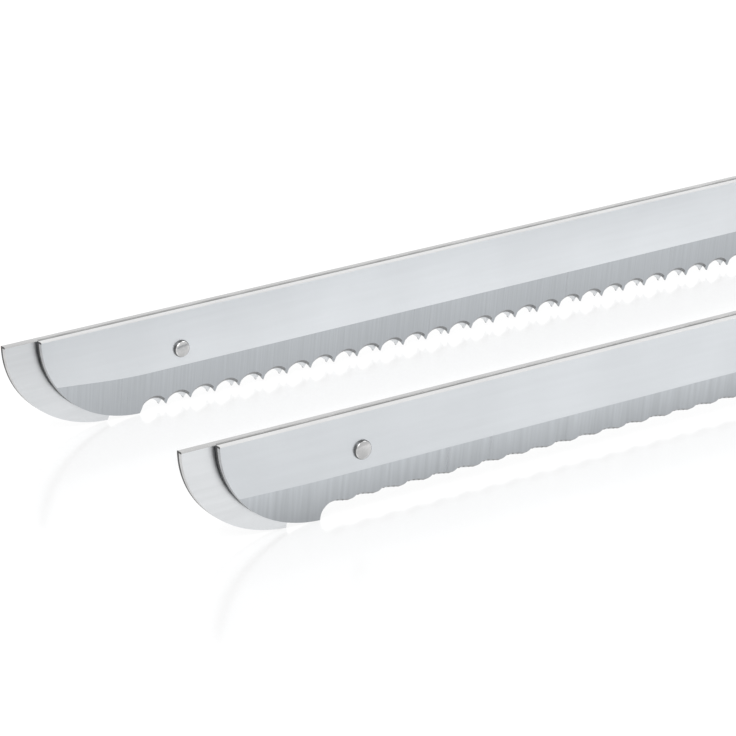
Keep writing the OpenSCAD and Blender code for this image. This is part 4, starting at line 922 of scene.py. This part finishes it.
def banded(name, tone, low_tone, pitch, axis, roughness, relief, metal):
    """Metal in bands of the given pitch: stacked sheets or turns of wire."""
    finish = bpy.data.materials.new(name)
    finish.use_nodes = True
    tree = finish.node_tree
    surface = tree.nodes["Principled BSDF"]
    surface.inputs["Metallic"].default_value = metal
    surface.inputs["Roughness"].default_value = roughness
    place = tree.nodes.new("ShaderNodeTexCoord")
    bands = tree.nodes.new("ShaderNodeTexWave")
    bands.bands_direction = axis
    bands.inputs["Scale"].default_value = wave_length / (pitch * mm)
    bands.inputs["Distortion"].default_value = band_wobble
    bands.inputs["Detail Scale"].default_value = wobble_scale
    link(tree, place, "Object", bands, "Vector")
    tint = tree.nodes.new("ShaderNodeValToRGB")
    tint.color_ramp.elements[0].color = low_tone + (1,)
    tint.color_ramp.elements[1].color = tone + (1,)
    link(tree, bands, "Fac", tint, "Fac")
    link(tree, tint, "Color", surface, "Base Color")
    bump = tree.nodes.new("ShaderNodeBump")
    bump.inputs["Strength"].default_value = relief
    bump.inputs["Distance"].default_value = band_height * mm
    link(tree, bands, "Fac", bump, "Height")
    link(tree, bump, "Normal", surface, "Normal")
    return finish


iron_finish = banded("stacked_iron", (0.34, 0.35, 0.37), (0.16, 0.16, 0.17), 0.5, "X",
    0.42, 0.5, 1.0)
coil_finish = banded("enamelled_copper", (0.62, 0.26, 0.09), (0.30, 0.10, 0.04), 0.45, "Z",
    0.3, 0.8, 0.9)
bar_finish = tinted("copper_bars", (0.75, 0.36, 0.18), (0.58, 0.26, 0.13), 0.25,
    (2500, 200, 200), 0.6, 0.1)
for node in ("stator_core", "armature_core"):
    dress(node, iron_finish, 0.12)
dress("field_coils", coil_finish, 0.5)
dress("armature_windings", coil_finish, 0.15)
dress("commutator", bar_finish, 0.08)


# Brushes and their springs
# Pressed carbon blocks, each pushed onto the commutator by a small coil
# spring of bright wire inside its brass holder.
wire_r = 0.4
wire_rounds = 3
coil_steps = 24
# Each brush spring's mean radius, length and turns, and the place of the right one
brush_coil = (1.7, 3.3, 2)
brush_spring_at = (41.5, 16.5, 35.5)
spring_finish = tinted("spring_wire", (0.62, 0.63, 0.66), (0.46, 0.47, 0.49), 0.25,
    (700, 700, 700), 0.5, 0.1)
carbon_finish = moulded("pressed_carbon", (0.022, 0.022, 0.024), 0.6, 1600.0, 0.4, 0.2)
dress("carbon_brushes", carbon_finish)


def coil_wire(name, r, length, turns):
    """Coil of round wire along Z from the origin, of the given radius, whole length and turns."""
    line = bpy.data.curves.new(name, "CURVE")
    line.dimensions = "3D"
    line.bevel_depth = wire_r * mm
    line.bevel_resolution = wire_rounds
    line.use_fill_caps = True
    steps = coil_steps * turns
    spline = line.splines.new("POLY")
    spline.points.add(steps)
    for i in range(steps + 1):
        turn = 2 * math.pi * i / coil_steps
        climb = wire_r + (length - 2 * wire_r) * i / steps
        spline.points[i].co = (r * math.cos(turn) * mm, r * math.sin(turn) * mm, climb * mm, 1)
    piece = bpy.data.objects.new(name, line)
    shape = bpy.data.meshes.new_from_object(piece)
    bpy.data.objects.remove(piece)
    shape.shade_smooth()
    piece = bpy.data.objects.new(name, shape)
    scene.collection.objects.link(piece)
    shape.materials.clear()
    shape.materials.append(spring_finish)
    return piece


left_spring = coil_wire("left_brush_spring", *brush_coil)
right_spring = coil_wire("right_brush_spring", *brush_coil)
for piece, side in ((left_spring, -1), (right_spring, 1)):
    turn = Matrix.Rotation(math.radians(-90 * side), 4, "X")
    at = Vector((brush_spring_at[0], brush_spring_at[1] * side, brush_spring_at[2])) * mm
    piece.data.transform(Matrix.Translation(at) @ turn)
    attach(piece, "housing")
    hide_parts("brush_springs")


# Trigger, switch and lock
# A finger trigger under the grip swings on a steel pin and lifts the switch's
# plunger. The lock button slides on top of the grip.
plunger_finish = moulded("red_plunger", (0.48, 0.035, 0.02), 0.4)
switch_finish = moulded("switch_black", (0.018, 0.018, 0.02), 0.45)
dress("trigger", dark_finish, 0.6)
dress("switch_body", switch_finish, 0.3)
dress("switch_plunger", plunger_finish, 0.3)
dress("lock_button", dark_finish, 0.4)


# Release buttons and latch springs
# A button on each side presses the steel leaf that hooks into the tang's notch.
# The leaf is the CAD's.
for node in ("left_release_button", "right_release_button"):
    dress(node, dark_finish, 0.4)
for name, side, body, node in (
        ("left_latch_leaf", -1, "left_slide", "left_latch_spring"),
        ("right_latch_leaf", 1, "right_slide", "right_latch_spring")):
    piece = bpy.data.objects.new(name, nodes[node].data.copy())
    piece.matrix_world = nodes[node].matrix_world
    piece.data.materials.clear()
    piece.data.materials.append(spring_finish)
    scene.collection.objects.link(piece)
    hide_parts(node)
    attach(piece, body)
    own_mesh(piece)


# Trigger spring
# A coil of bright wire between the trigger and the switch body.
trigger_coil = (2.6, 7, 4)
trigger_spring_at = (-29, 0, 91.5)
piece = coil_wire("trigger_return_spring", *trigger_coil)
piece.data.transform(Matrix.Translation(Vector(trigger_spring_at) * mm))
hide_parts("trigger_spring")
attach(piece, "housing")
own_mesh(piece)


bpy.context.view_layer.update()
